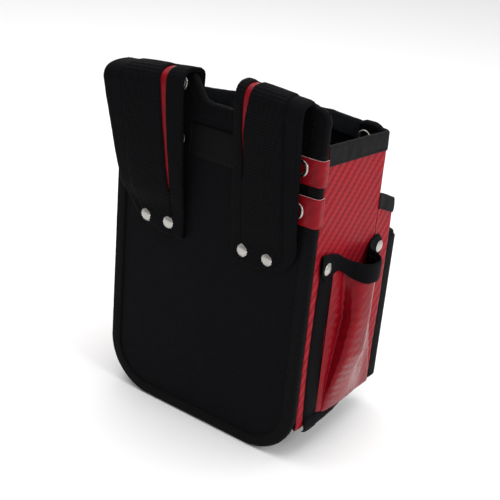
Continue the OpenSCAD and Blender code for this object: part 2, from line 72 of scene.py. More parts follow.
LOOP_LO, LOOP_HI = box_mm("far_loop_border")
LOOP_OUTER = LOOP_HI[0]
LOOP_BOTTOM = LOOP_LO[2]
LOOP_FLAT = LOOP_BOTTOM + 15.0
LOOP_FOLD = 290.0
LOOP_T = 3.4
TAIL_Y, TAIL_END = -9.2, 264.0
BACK_R = 4.0
FOLD_POWER = 0.65
INNER_BULGE = 13.0
# Which way each side lies along X; near is the side towards the camera
SIGN = {"near": -1, "far": 1}
# How far each loop's crest drops towards the bag, at its inner and outer edge
CREST_SLOPE = {"near": (3.0, 4.5), "far": (1.5, 5.5)}
# Per loop: inner edge, bulge at the outer edge, fold height at the inner and outer edge, corner radius
LOOPS = {
    "near": (-box_mm("near_loop_inner_strip")[1][0], 14.0, 307.5, 304.2, 25.0),
    "far": (box_mm("far_loop_inner_strip")[0][0], 34.0, 304.5, 301.5, 38.0),
}

WALL_LO, WALL_HI = box_mm("near_side_wall")
BAG_BOTTOM = WALL_LO[2]
BAG_DEPTH = -box_mm("front_wall")[0][1]
BAG_BACK = -WALL_HI[1]
MOUTH_BACK = WALL_HI[2]
MOUTH_FRONT = box_mm("front_wall")[1][2]
CORNER_R = 5.0
# Widths of the mouth tapes of the bag and of its pockets
MOUTH_TAPE, POCKET_TAPE = 15.0, 12.5
# Thickness of the panel's skins, the walls and the bottoms
SKIN_T, WALL_T, BASE_T = 1.5, 1.6, 1.8
# Pitch of the ribs of the wide webbing and of the ribbed tape
WEB_RIB, TAPE_RIB = 2.5, 2.0

SECOND_LO, SECOND_HI = box_mm("near_second_gusset")
SECOND_BACK, SECOND_FRONT = -SECOND_HI[1], -SECOND_LO[1]
SECOND_MOUTH_BACK = SECOND_HI[2]
SECOND_MOUTH = box_mm("second_pocket_front")[1][2]
# Plan of the turn with which the second pocket's sides meet the bag's corners: (x, distance back)
SECOND_LAP = ((100.1, 3.6), (100.3, 2.4), (100.2, 1.2))
THIRD_LO, THIRD_HI = box_mm("third_pocket_front")
THIRD_BACK, THIRD_FRONT = -THIRD_HI[1], -THIRD_LO[1]
THIRD_MOUTH_BACK = THIRD_HI[2]
THIRD_MOUTH = THIRD_MOUTH_BACK - 7.0
THIRD_HALF = THIRD_HI[0] - 1.2

POCKET_MOUTH = box_mm("near_side_pocket")[1][2]
# Height of the hanger strap's inner end
HANGER_END = 240.0


def place(p):
    """A point in millimetres, with its height from the panel's bottom, as a point of the row frame."""
    return (p[0] * MM, p[1] * MM, (p[2] + BASE_Z) * MM)


def lerp(a, b, t):
    return a + (b - a) * t


def clamp(t, lo=0.0, hi=1.0):
    return max(lo, min(hi, t))


def smooth(t):
    t = clamp(t)
    return t * t * (3 - 2 * t)


def smooth_all(t):
    """smooth() for an array."""
    t = np.clip(t, 0.0, 1.0)
    return t * t * (3 - 2 * t)


def wobble(x, y, z, size, seed=0.0):
    """Smooth noise between about -1 and 1 that changes over size millimetres."""
    return noise.noise(Vector((x / size + seed, y / size - seed, z / size + 2 * seed)))


def link(name, data):
    """A new object with that data, in the scene."""
    made = bpy.data.objects.new(name, data)
    bpy.context.collection.objects.link(made)
    return made


def islands(node):
    """Boxes of the separate solids of a CAD node, each as (centre, lowest, highest), in millimetres."""
    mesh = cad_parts[node].data
    bm = bmesh.new()
    bm.from_mesh(mesh)
    bmesh.ops.remove_doubles(bm, verts=bm.verts, dist=1e-6)
    seen, found = set(), []
    for start in bm.verts:
        if start in seen:
            continue
        group, queue = [], [start]
        seen.add(start)
        while queue:
            v = queue.pop()
            group.append(v.co[:])
            for e in v.link_edges:
                w = e.other_vert(v)
                if w not in seen:
                    seen.add(w)
                    queue.append(w)
        pts = np.array(group) / MM
        pts[:, 2] -= BASE_Z
        found.append(((pts.min(0) + pts.max(0)) / 2, pts.min(0), pts.max(0)))
    bm.free()
    return sorted(found, key=lambda f: tuple(np.round(f[0], 1)))


# ------------------------------------------------------------------ camera, lights, floor

# Sky strength along Y: from, to, strength in front of the bag, strength behind the panel
SKY_FADE = (-0.5, 0.9, 0.95, 0.4)
# Where the camera stands and looks from, relative to the middle of the panel's bottom edge
CAMERA_AT = (-468.4, 610.8, 494.1)
CAMERA_BACK = (-0.5249, 0.7535, 0.3959)
CAMERA_ROLL = math.radians(5.39)
CAMERA_LENS = 74.05


def build_camera():
    data = bpy.data.cameras.new("camera")
    data.lens = CAMERA_LENS
    data.sensor_width = 36.0
    cam = link("camera", data)
    back = Vector(CAMERA_BACK).normalized()
    right = Vector((0, 0, 1)).cross(back).normalized()
    up = back.cross(right)
    c, s = math.cos(CAMERA_ROLL), math.sin(CAMERA_ROLL)
    turn = Matrix((right * c + up * s, up * c - right * s, back)).transposed().to_4x4()
    cam.matrix_world = Matrix.Translation(place(CAMERA_AT)) @ turn
    bpy.context.scene.camera = cam


def area_light(name, at, aim, size, power):
    data = bpy.data.lights.new(name, "AREA")
    data.shape = "RECTANGLE"
    data.size, data.size_y = size
    data.energy = power
    lamp = link(name, data)
    lamp.location = at
    lamp.rotation_euler = (Vector(aim) - Vector(at)).to_track_quat("-Z", "Y").to_euler()


def build_stage():
    floor_z = place((0, 0, -TAPE_T))[2] - 0.0005
    bm = bmesh.new()
    for x, y in ((-4, -4), (4, -4), (4, 4), (-4, 4)):
        bm.verts.new((x, y, floor_z))
    bm.faces.new(bm.verts)
    mesh = bpy.data.meshes.new("floor")
    bm.to_mesh(mesh)
    bm.free()
    floor = link("floor", mesh)
    pale = bpy.data.materials.new("floor")
    pale.use_nodes = True
    shader = pale.node_tree.nodes["Principled BSDF"]
    shader.inputs["Base Color"].default_value = (0.93, 0.93, 0.93, 1)
    shader.inputs["Roughness"].default_value = 0.9
    mesh.materials.append(pale)

    world = bpy.data.worlds.new("studio")
    bpy.context.scene.world = world
    world.use_nodes = True
    tree = world.node_tree
    sky = tree.nodes["Background"]
    sky.inputs["Color"].default_value = (1, 1, 1, 1)
    where = tree.nodes.new("ShaderNodeTexCoord")
    parts = tree.nodes.new("ShaderNodeSeparateXYZ")
    tree.links.new(where.outputs["Generated"], parts.inputs[0])
    fade = tree.nodes.new("ShaderNodeMapRange")
    tree.links.new(parts.outputs[1], fade.inputs[0])
    for i, v in enumerate(SKY_FADE):
        fade.inputs[i + 1].default_value = v
    tree.links.new(fade.outputs[0], sky.inputs["Strength"])
    bpy.context.scene.view_settings.view_transform = "Standard"

    area_light("top", (0.1, 0.0, 1.7), (0, 0, 0), (2.2, 2.2), 30)
    area_light("side", (-1.7, 0.1, 0.9), (0, 0, -0.1), (0.7, 1.2), 14)


build_camera()
build_stage()

# ------------------------------------------------------------------ materials


class Shader:
    """A material under construction: add() makes a node, each input a value or another node's output."""

    def __init__(self, name):
        self.material = bpy.data.materials.new(name)
        self.material.use_nodes = True
        self.tree = self.material.node_tree
        self.surface = self.tree.nodes["Principled BSDF"]

    def add(self, kind, inputs=None, **settings):
        made = self.tree.nodes.new(kind)
        for key, value in settings.items():
            setattr(made, key, value)
        for key, value in (inputs or {}).items():
            self.put(made.inputs[key], value)
        return made

    def put(self, socket, value):
        if isinstance(value, bpy.types.NodeSocket):
            self.tree.links.new(value, socket)
        else:
            socket.default_value = value

    def math(self, operation, *values):
        return self.add("ShaderNodeMath", dict(enumerate(values)), operation=operation).outputs[0]

    def times(self, a, b):
        return self.math("MULTIPLY", a, b)

    def times_add(self, a, b, c):
        return self.math("MULTIPLY_ADD", a, b, c)

    def mix(self, amount, a, b):
        return self.add("ShaderNodeMix", {0: amount, 6: a, 7: b}, data_type="RGBA").outputs[2]

    def ramp(self, value, low, high, to_low=0.0, to_high=1.0):
        inputs = dict(enumerate((value, low, high, to_low, to_high)))
        return self.add("ShaderNodeMapRange", inputs).outputs[0]

    def cloth_uv(self):
        """Coordinates along the cloth, in millimetres."""
        uv = self.add("ShaderNodeUVMap", uv_map="cloth")
        parts = self.add("ShaderNodeSeparateXYZ", {0: uv.outputs[0]})
        return tuple(self.times(parts.outputs[k], 1 / MM) for k in (0, 1))

    def noise(self, scale, detail=3.0, rough=0.55):
        where = self.add("ShaderNodeTexCoord")
        inputs = {"Vector": where.outputs["Object"], "Scale": scale, "Detail": detail, "Roughness": rough}
        return self.add("ShaderNodeTexNoise", inputs).outputs[0]

    def set(self, **values):
        names = {
            "colour": "Base Color", "rough": "Roughness", "metal": "Metallic", "sheen": "Sheen Weight",
            "sheen_rough": "Sheen Roughness", "specular": "Specular IOR Level",
        }
        for key, value in values.items():
            self.put(self.surface.inputs[names[key]], value)

    def bump(self, height, distance, strength=1.0):
        made = self.add("ShaderNodeBump", {"Height": height, "Distance": distance, "Strength": strength})
        self.put(self.surface.inputs["Normal"], made.outputs[0])


def shade(colour, factor=1.0):
    """The colour made darker or lighter, with its alpha."""
    return (*(c * factor for c in colour), 1.0)


def wave(sh, value, period, phase=0.0):
    """A sine between 0 and 1 with that period in the value's own units."""
    turned = sh.times_add(value, 2 * math.pi / period, phase)
    return sh.times_add(sh.math("SINE", turned), 0.5, 0.5)


def plain_weave(sh, u, v, pitch):
    """Height of a plain weave: threads pass over and under each other like a chessboard."""
    cu = sh.math("SINE", sh.times(u, math.pi / pitch))
    cv = sh.math("SINE", sh.times(v, math.pi / pitch))
    return sh.times_add(sh.times(cu, cv), 0.5, 0.5)


def nylon_material(name, pitch, colour, rough=0.62):
    sh = Shader(name)
    u, v = sh.cloth_uv()
    weave = plain_weave(sh, u, v, pitch)
    cloud = sh.noise(60.0)
    grain = sh.noise(900.0, 2.0)
    tone = sh.times_add(cloud, 0.5, sh.times(weave, 0.5))
    sh.set(colour=sh.mix(tone, shade(colour, 0.55), shade(colour, 1.5)))
    sh.set(rough=sh.ramp(cloud, 0.3, 0.7, rough - 0.05, rough + 0.08))
    sh.set(sheen=0.001, sheen_rough=0.35, specular=0.03)
    height = sh.times_add(grain, 0.35, weave)
    sh.bump(height, 0.00022, 0.9)
    return sh.material


def tape_material(name, pitch, colour, rough=0.6, ribs=0.0, shine=0.025):
    """Woven tape: fine threads along it, and ribs across it if ribs gives their pitch."""
    sh = Shader(name)
    u, v = sh.cloth_uv()
    threads = wave(sh, v, pitch)
    cross = wave(sh, u, ribs, -math.pi / 2) if ribs else plain_weave(sh, u, v, pitch)
    cloud = sh.noise(80.0)
    tone = sh.times_add(cross, 0.6, sh.times(cloud, 0.4))
    sh.set(colour=sh.mix(tone, shade(colour, 0.4), shade(colour, 1.7)))
    sh.set(rough=sh.ramp(cloud, 0.3, 0.7, rough - 0.06, rough + 0.08))
    sh.set(sheen=0.001, sheen_rough=0.35, specular=shine)
    height = sh.times_add(threads, 0.3, cross)
    sh.bump(height, 0.00035 if ribs else 0.0002, 0.9)
    return sh.material


# Width of one raised step of the twill along and across the cloth
TOW_U, TOW_V = 2.82, 2.8


def carbon_material(name, gloss, colour, contrast, shine):
    """Red PVC with an embossed two-by-two twill, its steps rising steeply towards the front."""
    sh = Shader(name)
    u, v = sh.cloth_uv()
    cell_u = sh.math("FLOOR", sh.math("DIVIDE", u, TOW_U))
    cell_v = sh.math("FLOOR", sh.math("DIVIDE", v, TOW_V))
    step = sh.math("FLOORED_MODULO", sh.math("SUBTRACT", cell_u, cell_v), 4.0)
    over = sh.math("LESS_THAN", step, 1.5)
    along = wave(sh, u, TOW_U, -math.pi / 2)
    across = wave(sh, v, TOW_V, -math.pi / 2)
    swell = sh.add("ShaderNodeMix", {0: over, 2: across, 3: along}, data_type="FLOAT")
    cloud = sh.noise(40.0)
    band = wave(sh, sh.math("SUBTRACT", u, v), 4 * TOW_U)
    mixed = sh.times_add(band, 0.6, sh.times(over, 0.4))
    tone = sh.times_add(mixed, contrast, sh.times(cloud, 1 - contrast))
    sh.set(colour=sh.mix(tone, shade(colour, 0.55), shade(colour, 1.45)))
    sh.set(rough=sh.times_add(over, -0.1, sh.ramp(cloud, 0.3, 0.7, gloss, gloss + 0.1)))
    sh.set(specular=shine)
    height = sh.times_add(mixed, 0.8, sh.times(swell.outputs[0], 0.2))
    sh.bump(height, 0.00016, 0.7)
    return sh.material


def metal_material(name, colour, rough):
    sh = Shader(name)
    scratch = sh.noise(700.0, 4.0, 0.7)
    cloud = sh.noise(120.0)
    sh.set(colour=sh.mix(sh.ramp(cloud, 0.35, 0.65), shade(colour, 0.82), shade(colour)), metal=1.0)
    sh.set(rough=sh.times_add(scratch, 0.12, rough))
    sh.bump(scratch, 0.00004, 0.4)
    return sh.material


def plain_material(name, colour, rough, vary=0.3, shine=0.1):
    sh = Shader(name)
    cloud = sh.noise(150.0)
    grain = sh.noise(1400.0, 2.0)
    sh.set(colour=sh.mix(cloud, shade(colour, 1 - vary), shade(colour, 1 + vary)))
    sh.set(rough=sh.ramp(cloud, 0.3, 0.7, rough - 0.05, rough + 0.05))
    sh.set(specular=shine)
    sh.bump(grain, 0.0001, 0.5)
    return sh.material


NYLON = nylon_material("nylon", 1.0, (0.0037, 0.0038, 0.0046))
LINING = nylon_material("lining", 0.8, (0.003, 0.003, 0.0037), 0.7)
TAPE = tape_material("edge_tape", 0.9, (0.0036, 0.0037, 0.0044))
# Painted light: the mouth tapes' black is a lighter copy of the edge tape's, standing in for the light
# that falls on them
PAINTED_LIGHT_MOUTH_CLOTH = tape_material("mouth_tape_painted_light", 0.9, (0.0052, 0.0054, 0.0062), shine=0.06)
RIB_TAPE = tape_material("rib_tape", 0.9, (0.0040, 0.0041, 0.0048), 0.62, 2.0, 0.04)
# Painted light: the inside face of the main mouth tape is several times lighter than the tape's black,
# standing in for light inside the bag
PAINTED_LIGHT_INNER_TAPE = tape_material("inner_tape_painted_light", 0.9, (0.013, 0.014, 0.016), 0.62, 1.5)
WEBBING = tape_material("webbing", 1.2, (0.0036, 0.0037, 0.0043), 0.6)
CARBON = carbon_material("carbon_pvc", 0.42, (0.235, 0.008, 0.0145), 0.6, 0.05)
CARBON_STRIP = carbon_material("carbon_strip", 0.3, (0.20, 0.004, 0.009), 0.15, 0.1)
CARBON_GLOSS = carbon_material("carbon_gloss", 0.22, (0.185, 0.002, 0.0068), 0.15, 0.12)
CUT_EDGE = plain_material("cut_edge", (0.62, 0.38, 0.38), 0.7, 0.12)
THREAD = plain_material("thread", (0.0055, 0.0055, 0.0062), 0.6, 0.2, 0.05)
NICKEL = metal_material("nickel", (0.46, 0.445, 0.42), 0.22)
STEEL = metal_material("steel", (0.52, 0.51, 0.49), 0.34)
BOARD = plain_material("board", (0.05, 0.05, 0.052), 0.55)
PATCH = plain_material("patch", (0.0034, 0.0039, 0.0036), 0.55, 0.3, 0.04)

# ------------------------------------------------------------------ mesh helpers


def finish_mesh(name, verts, faces, material, uvs=None):
    mesh = bpy.data.meshes.new(name)
    mesh.from_pydata(verts, [], faces)
    mesh.materials.append(material)
    if uvs is not None:
        layer = mesh.uv_layers.new(name="cloth")
        flat = np.array([uvs[i] for f in faces for i in f], dtype=np.float32)
        layer.data.foreach_set("uv", flat.ravel())
    mesh.polygons.foreach_set("use_smooth", [True] * len(mesh.polygons))
    mesh.validate()
    return link(name, mesh)


def thicken(piece, thickness, offset=-1.0, inner=None, rim=None):
    """Give a surface its thickness; inner is the material of its back, rim that of its cut edges."""
    solid = piece.modifiers.new("thickness", "SOLIDIFY")
    solid.thickness = thickness * MM
    solid.offset = offset
    solid.use_even_offset = False
    if inner is not None:
        piece.data.materials.append(inner)
        solid.material_offset = 1
        solid.material_offset_rim = 1
    if rim is not None:
        piece.data.materials.append(rim)
        solid.material_offset_rim = len(piece.data.materials) - 1
    return piece


def grid(name, rows, material, closed=False, flip=False, uv_swap=False):
    """Surface through rows of points in millimetres; its cloth coordinates run along its own lengths."""
    pts = np.array(rows, dtype=float)
    n, m = pts.shape[:2]
    du = np.linalg.norm(np.diff(pts, axis=1), axis=2)
    dv = np.linalg.norm(np.diff(pts, axis=0), axis=2)
    u = np.concatenate([np.zeros((n, 1)), np.cumsum(du, axis=1)], axis=1)
    u -= u[:, m // 2 : m // 2 + 1]
    v = np.concatenate([np.zeros((1, m)), np.cumsum(dv, axis=0)], axis=0)
    uv = np.stack([v, u] if uv_swap else [u, v], axis=2) * MM
    verts = [place(p) for p in pts.reshape(-1, 3)]
    faces = []
    span = m if closed else m - 1
    for i in range(n - 1):
        for j in range(span):
            k = (j + 1) % m
            quad = (i * m + j, i * m + k, (i + 1) * m + k, (i + 1) * m + j)
            faces.append(quad[::-1] if flip else quad)
    return finish_mesh(name, verts, faces, material, uv.reshape(-1, 2))


def distances(path):
    """Distance along a path at each of its points."""
    return np.concatenate([[0], np.cumsum(np.linalg.norm(np.diff(path, axis=0), axis=1))])


def points_at(at, dist, path):
    """Points of a path at some distances along it."""
    return np.stack([np.interp(at, dist, path[:, k]) for k in range(path.shape[1])], axis=-1)


def resample(path, step):
    """The polyline path with points every step millimetres or so."""
    pts = np.array(path, dtype=float)
    dist = distances(pts)
    count = max(2, int(round(dist[-1] / step)) + 1)
    return points_at(np.linspace(0, dist[-1], count), dist, pts)


def arc(x, y, r, start, end, count):
    """Points round (x, y) at radius r, from one angle to another, both in quarter turns."""
    return [(x + r * math.cos(a), y + r * math.sin(a))
            for a in np.linspace(start, end, count) * math.pi / 2]


def rib(s, pitch):
    """Height between 0 and 1 of ribs at s along a webbing."""
    return 0.5 + 0.5 * math.cos(2 * math.pi * s / pitch)


def curve_through(points, per_span=8):
    """Smooth (Catmull-Rom) curve through points, any number of coordinates."""
    p = np.array(points, dtype=float)
    p = np.concatenate([[2 * p[0] - p[1]], p, [2 * p[-1] - p[-2]]])
    out = []
    for i in range(1, len(p) - 2):
        for k in range(per_span):
            t = k / per_span
            a, b, c, d = p[i - 1], p[i], p[i + 1], p[i + 2]
            out.append(
                0.5 * (2 * b + (c - a) * t + (2 * a - 5 * b + 4 * c - d) * t * t
                       + (3 * b - a - 3 * c + d) * t ** 3)
            )
    out.append(p[-2])
    return np.array(out)


def tangents(path):
    t = np.gradient(np.array(path, dtype=float), axis=0)
    return t / np.linalg.norm(t, axis=1, keepdims=True)


def unit(v):
    return v / np.linalg.norm(v, axis=-1, keepdims=True)


def edge_tape(name, path, inward, face, half, width, material, ribs=(0.0, 0.0), seed=0.0, lump=0.15,
              inner=None):
    """Tape folded over an edge. path is the edge, inward points into the sheet, face out of its front.
    half is half the sheet's thickness, width the tape's width on each face (a number or one per point),
    ribs the height and pitch of its ribs and inner the material of its back."""
    path = np.array(path, dtype=float)
    count = len(path)
    inward = unit(np.broadcast_to(np.array(inward, dtype=float), (count, 3)))
    face = unit(np.broadcast_to(np.array(face, dtype=float), (count, 3)))
    width = np.broadcast_to(np.array(width, dtype=float), (count,))
    lump = np.broadcast_to(np.array(lump, dtype=float), (count,))
    length = distances(path)
    h = half + TAPE_T * 0.8
    rows = []
    for i, w in enumerate(width):
        section = [(w, h - 0.7), (w - 0.5, h - 0.1)]
        section += [(lerp(w - 1.2, 2.0, k / 5), h + 0.25 * math.sin(math.pi * k / 5)) for k in range(6)]
        for k in range(9):
            a = math.pi / 2 - math.pi * k / 8
            section.append((1.0 - (TAPE_T + 1.2) * math.cos(a), h * math.sin(a)))
        section += [(lerp(2.0, w - 1.2, k / 5), -h - 0.25 * math.sin(math.pi * k / 5)) for k in range(6)]
        section += [(w - 0.5, -h + 0.1), (w, -h + 0.7)]
        raised = ribs[0] * rib(length[i], ribs[1]) if ribs[0] else 0.0
        row = []
        for a, b in section:
            p = path[i] + inward[i] * a + face[i] * b
            out = face[i] * math.copysign(1, b) if a > 1.5 else -inward[i]
            p = p + out * (raised + lump[i] * wobble(*p, 7.0, seed))
            row.append(p)
        rows.append(row)
    piece = grid(name, rows, material, uv_swap=True)
    if inner is not None:
        piece.data.materials.append(inner)
        across = len(rows[0]) - 1
        for face_made in piece.data.polygons:
            face_made.material_index = int(face_made.index % across > across * 0.6)
    return piece


def stitches(name, lines, length=2.7, gap=1.3, radius=0.3):
    """Rows of thread stitches as small lozenges. Each line is (path, face normal) in millimetres."""
    verts, faces = [], []
    ring = 6
    profile = [(-0.5, 0.15), (-0.38, 0.75), (0.0, 1.0), (0.38, 0.75), (0.5, 0.15)]
    for path, face in lines:
        pts = resample(path, length + gap)
        normals = np.atleast_2d(np.array(face, dtype=float))
        pick = np.linspace(0, len(normals) - 1, len(pts) - 1).round().astype(int)
        faces_n = unit(normals[pick])
        for i in range(len(pts) - 1):
            start, end = pts[i], pts[i + 1]
            along = unit(end - start)
            up = unit(faces_n[i] - along * np.dot(faces_n[i], along))
            side = np.cross(along, up)
            mid = (start + end) / 2
            base = len(verts)
            for t, r in profile:
                dip = -0.35 * radius * (4 * t * t)
                for k in range(ring):
                    a = 2 * math.pi * k / ring
                    out = (side * math.cos(a) + up * math.sin(a)) * radius * r
                    verts.append(place(mid + along * (t * length) + out + up * (dip + 0.3 * radius)))
            for j in range(len(profile) - 1):
                for k in range(ring):
                    a, b = base + j * ring + k, base + j * ring + (k + 1) % ring
                    faces.append((a, b, b + ring, a + ring))
            faces.append(tuple(base + k for k in range(ring))[::-1])
            faces.append(tuple(base + (len(profile) - 1) * ring + k for k in range(ring)))
    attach(finish_mesh(name, verts, faces, THREAD), "root")


def lathe(name, centres, axis, profile, material, turns=40):
    """One turned piece at each centre: profile is (radius, height) pairs along axis, in millimetres."""
    axis = unit(np.array(axis, dtype=float))
    helper = np.array([0, 0, 1.0]) if abs(axis[2]) < 0.9 else np.array([1.0, 0, 0])
    e1 = unit(np.cross(helper, axis))
    e2 = np.cross(axis, e1)
    verts, faces = [], []
    for centre in centres:
        base = len(verts)
        for r, h in profile:
            for k in range(turns):
                a = 2 * math.pi * k / turns
                turned = (e1 * math.cos(a) + e2 * math.sin(a)) * r
                verts.append(place(np.array(centre) + axis * h + turned))
        for j in range(len(profile) - 1):
            for k in range(turns):
                a, b = base + j * turns + k, base + j * turns + (k + 1) % turns
                faces.append((a, b, b + turns, a + turns))
    return finish_mesh(name, verts, faces, material)


def stand_for(piece, slot, *nodes):
    """The piece rides on the only body and hides the CAD nodes it stands for."""
    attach(piece, "root")
    if nodes:
        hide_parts(*nodes)


def repaint(node, material):
    """Give a CAD node that stays visible its material."""
    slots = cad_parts[node].data.materials
    slots.clear()
    slots.append(material)


# ------------------------------------------------------------------ back panel


def top_z(x):
    t = (x - DIP_X) / DIP_HALF
    crown = lerp(CROWN, NEAR_CORNER if x < 0 else FAR_CORNER, min(1.0, abs(x) / HALF_W))
    return crown - (DIP * (1 - t ** 4) ** 2 if abs(t) < 1 else 0.0)


def half_width(z):
    """Half the panel's width at height z, with its rounded bottom corners."""
    if z >= PANEL_R:
        return HALF_W
    return HALF_W - PANEL_R + math.sqrt(max(0.0, PANEL_R ** 2 - (PANEL_R - z) ** 2))


def panel_rows(y, puff):
    """Grid over the panel at depth y, swelling by puff between the taped edges."""
    rows, inset = [], 1.0
    heights = np.concatenate([np.linspace(0, 1, 18) ** 1.6 * 0.16, np.linspace(0.17, 1, 70)])
    for t in heights:
        row = []
        for s in np.linspace(-1, 1, 81):
            z0 = t * CROWN
            x = s * (half_width(max(z0, inset)) - inset)
            z = clamp(t * top_z(x), inset, top_z(x) - inset)
            edge = min(half_width(z) - abs(x), z, top_z(x) - z)
            swell = smooth((edge - TAPE_W) / 14.0)
            ripple = wobble(x, 0, z, 45.0, 3.1) * 0.7 + wobble(x, 0, z, 17.0, 7.7) * 0.25
            row.append((x, y + puff * swell * (0.6 + ripple), z))
        rows.append(row)
    return rows


def panel_edge(z_from):
    """The panel's edge from height z_from down its near side, along the bottom and up its far side."""
    corner = HALF_W - PANEL_R
    path = [(-HALF_W, z) for z in np.linspace(z_from, PANEL_R, 60)]
    path += arc(-corner, PANEL_R, PANEL_R, 2, 3, 24)[1:] + arc(corner, PANEL_R, PANEL_R, 3, 4, 24)
    path += [(HALF_W, z) for z in np.linspace(PANEL_R, z_from, 60)[1:]]
    return [(x, 0, z) for x, z in path]


def top_edge(z_from):
    """The panel's edge from height z_from up its near side, along the top and down its far side."""
    near_z, far_z = top_z(-HALF_W) - TOP_R, top_z(HALF_W) - TOP_R
    path = [(-HALF_W, z) for z in np.linspace(z_from, near_z, 30)]
    path += arc(-HALF_W + TOP_R, near_z, TOP_R, 2, 1, 10)[1:]
    path += [(x, top_z(x)) for x in np.linspace(-HALF_W + TOP_R, HALF_W - TOP_R, 150)[1:]]
    path += arc(HALF_W - TOP_R, far_z, TOP_R, 1, 0, 10)[1:]
    path += [(HALF_W, z) for z in np.linspace(far_z, z_from, 30)[1:]]
    return [(x, 0, z) for x, z in path]


def inward_of(path):
    """Directions into the panel for an edge that runs anticlockwise in (x, z), seen from the wearer."""
    t = tangents(path)
    return np.stack([-t[:, 2], np.zeros(len(t)), t[:, 0]], axis=1)


def build_back_panel():
    mid = PANEL_BACK / 2
    half = -PANEL_BACK / 2
    outer = grid("panel_outer_skin", panel_rows(0.0, 0.8), NYLON)
    stand_for(thicken(outer, SKIN_T, 1.0), "nylon", "back_panel_outer")
    inner = grid("panel_inner_skin", panel_rows(PANEL_BACK, -0.4), LINING, flip=True)
    stand_for(thicken(inner, SKIN_T, 1.0), "nylon", "back_panel_inner")

    wrap_bottom = box_mm("panel_top_binding")[0][2]
    path = resample(panel_edge(wrap_bottom + 4), 1.0)
    path[:, 1] = mid
    inward = inward_of(path)
    tape = edge_tape("panel_edge_tape", path, inward, (0, 1, 0), half, TAPE_W, RIB_TAPE, seed=1.0)
    stand_for(tape, "edge_tape", "panel_binding")
    line = path + inward * (TAPE_W - 1.6)
    off = np.array([0, half + 1.0, 0])
    stitches("panel_edge_stitches", [(line + off, (0, 1, 0)), (line - off, (0, -1, 0))])

    top = resample(top_edge(wrap_bottom), 0.5)
    top[:, 1] = mid
    inward = -inward_of(top)
    near_end = np.minimum(np.abs(top[:, 0] - HALF_W), np.abs(top[:, 0] + HALF_W))
    in_dip = smooth_all(1.15 - np.abs(top[:, 0] - DIP_X) / DIP_HALF) * (top[:, 2] > wrap_bottom + 8)
    width = np.array([lerp(13.0, 9.0, smooth((d - 2) / 10.0)) for d in near_end]) - 1.5 * in_dip
    top[:, 1] += 0.7 * in_dip * np.array([wobble(x, z, 0, 6.0, 2.7) for x, _, z in top])
    bunch = np.exp(-((top[:, 0] - BUNCH_X) / BUNCH_WIDE) ** 2) * (top[:, 2] > wrap_bottom + 20)
    top[:, 2] += BUNCH * bunch * (0.6 + 0.9 * np.array([wobble(x, 0, 0, 3.2, 9.1) for x in top[:, 0]]))
    tape = edge_tape("panel_top_tape", top, inward, (0, 1, 0), half, width, TAPE, seed=4.0,
                     lump=0.3 + 0.5 * in_dip)
    stand_for(tape, "edge_tape", "panel_top_binding")
    line = top + inward * (width - 1.6)[:, None]
    stitches("panel_top_stitches", [(line + off, (0, 1, 0))])
    repaint("stiffener_board", BOARD)


# How far the label's seam lies from its edge
LABEL_SEAM = 2.2


def build_label():
    lo, hi = box_mm("label_patch")
    rows = []
    for t in np.linspace(0, 1, 16):
        row = []
        for s in np.linspace(0, 1, 28):
            x, z = lerp(lo[0], hi[0], s), lerp(lo[2], hi[2], t)
            edge = min(min(s, 1 - s) * (hi[0] - lo[0]), min(t, 1 - t) * (hi[2] - lo[2]))
            lift = 0.3 * smooth(edge / 3.0) - 0.2 * math.exp(-((edge - LABEL_SEAM) / 0.6) ** 2)
            row.append((x, 0.7 + lift + 0.3 * wobble(x, 0, z, 14.0, 2.2), z))
        rows.append(row)
    stand_for(thicken(grid("label_patch_sewn", rows, PATCH), 0.8), "label", "label_patch")
    (x0, x1), (z0, z1) = ((lo[k] + LABEL_SEAM, hi[k] - LABEL_SEAM) for k in (0, 2))
    corners = [(x, 1.25, z) for x, z in ((x0, z0), (x1, z0), (x1, z1), (x0, z1))]
    lines = [(ends, (0, 1, 0)) for ends in zip(corners, corners[1:] + corners[:1])]
    stitches("label_stitches", lines, 2.0, 1.0, 0.22)


# ------------------------------------------------------------------ belt loops

# Red stripe of each loop: (distance along the strap, inner edge, outer edge)
STRIPES = {
    "near": ((68, 37.5, 37.6), (77, 36.9, 38.4), (101, 34.7, 37.6), (108, 34.0, 37.2), (121, 33.9, 38.5),
             (132, 33.9, 40.4), (140, 34.0, 40.9), (152, 34.5, 41.5)),
    "far": ((37, 35.4, 35.5), (42, 34.9, 37.4), (62, 35.6, 39.8), (75, 36.4, 40.4), (96, 36.6, 41.2),
            (116, 36.4, 41.6), (128, 35.9, 41.6), (138, 36.2, 42.8), (150, 37.0, 44.5)),
}
# Width of the tape along each loop's inner edge
INNER_TAPE = {"near": 5.5, "far": 9.0}


def flare(t):
    """How far the loop stands off at t of the way from its flat foot to its fold."""
    return t ** 0.8 * smooth(t / 0.2)


def loop_line(bulge, top, slope):
    """Middle line of a loop in (y, z): flat at the rivets, flaring, folding over with its crest sloping
    down towards the bag, and hanging behind."""
    y0, crest = LOOP_T / 2 + 0.1, top - LOOP_T / 2
    fold = min(LOOP_FOLD, crest - BACK_R)
    front_y, back_y = (bulge + TAIL_Y) / 2, TAIL_Y + BACK_R
    out = [(y0, z) for z in np.linspace(LOOP_BOTTOM, LOOP_FLAT, 50)[:-1]]
    out += [(lerp(y0, bulge, flare(t)), lerp(LOOP_FLAT, fold, t)) for t in np.linspace(0, 1, 400)]
    out += [(lerp(front_y, bulge, math.cos(a) ** FOLD_POWER),
             lerp(fold, crest, math.sin(a) ** FOLD_POWER))
            for a in np.linspace(0, math.pi / 2 - 1e-6, 80)[1:]]
    rear = crest - slope
    out += [(lerp(front_y, back_y, t), crest - slope * smooth(t)) for t in np.linspace(0, 1, 46)[1:]]
    out += [(back_y + BACK_R * math.cos(a), rear - BACK_R + BACK_R * math.sin(a))
            for a in np.linspace(math.pi / 2, math.pi, 26)[1:]]
    out += [(TAIL_Y, z) for z in np.linspace(rear - BACK_R, TAIL_END, 120)[1:]]
    return np.array(out)


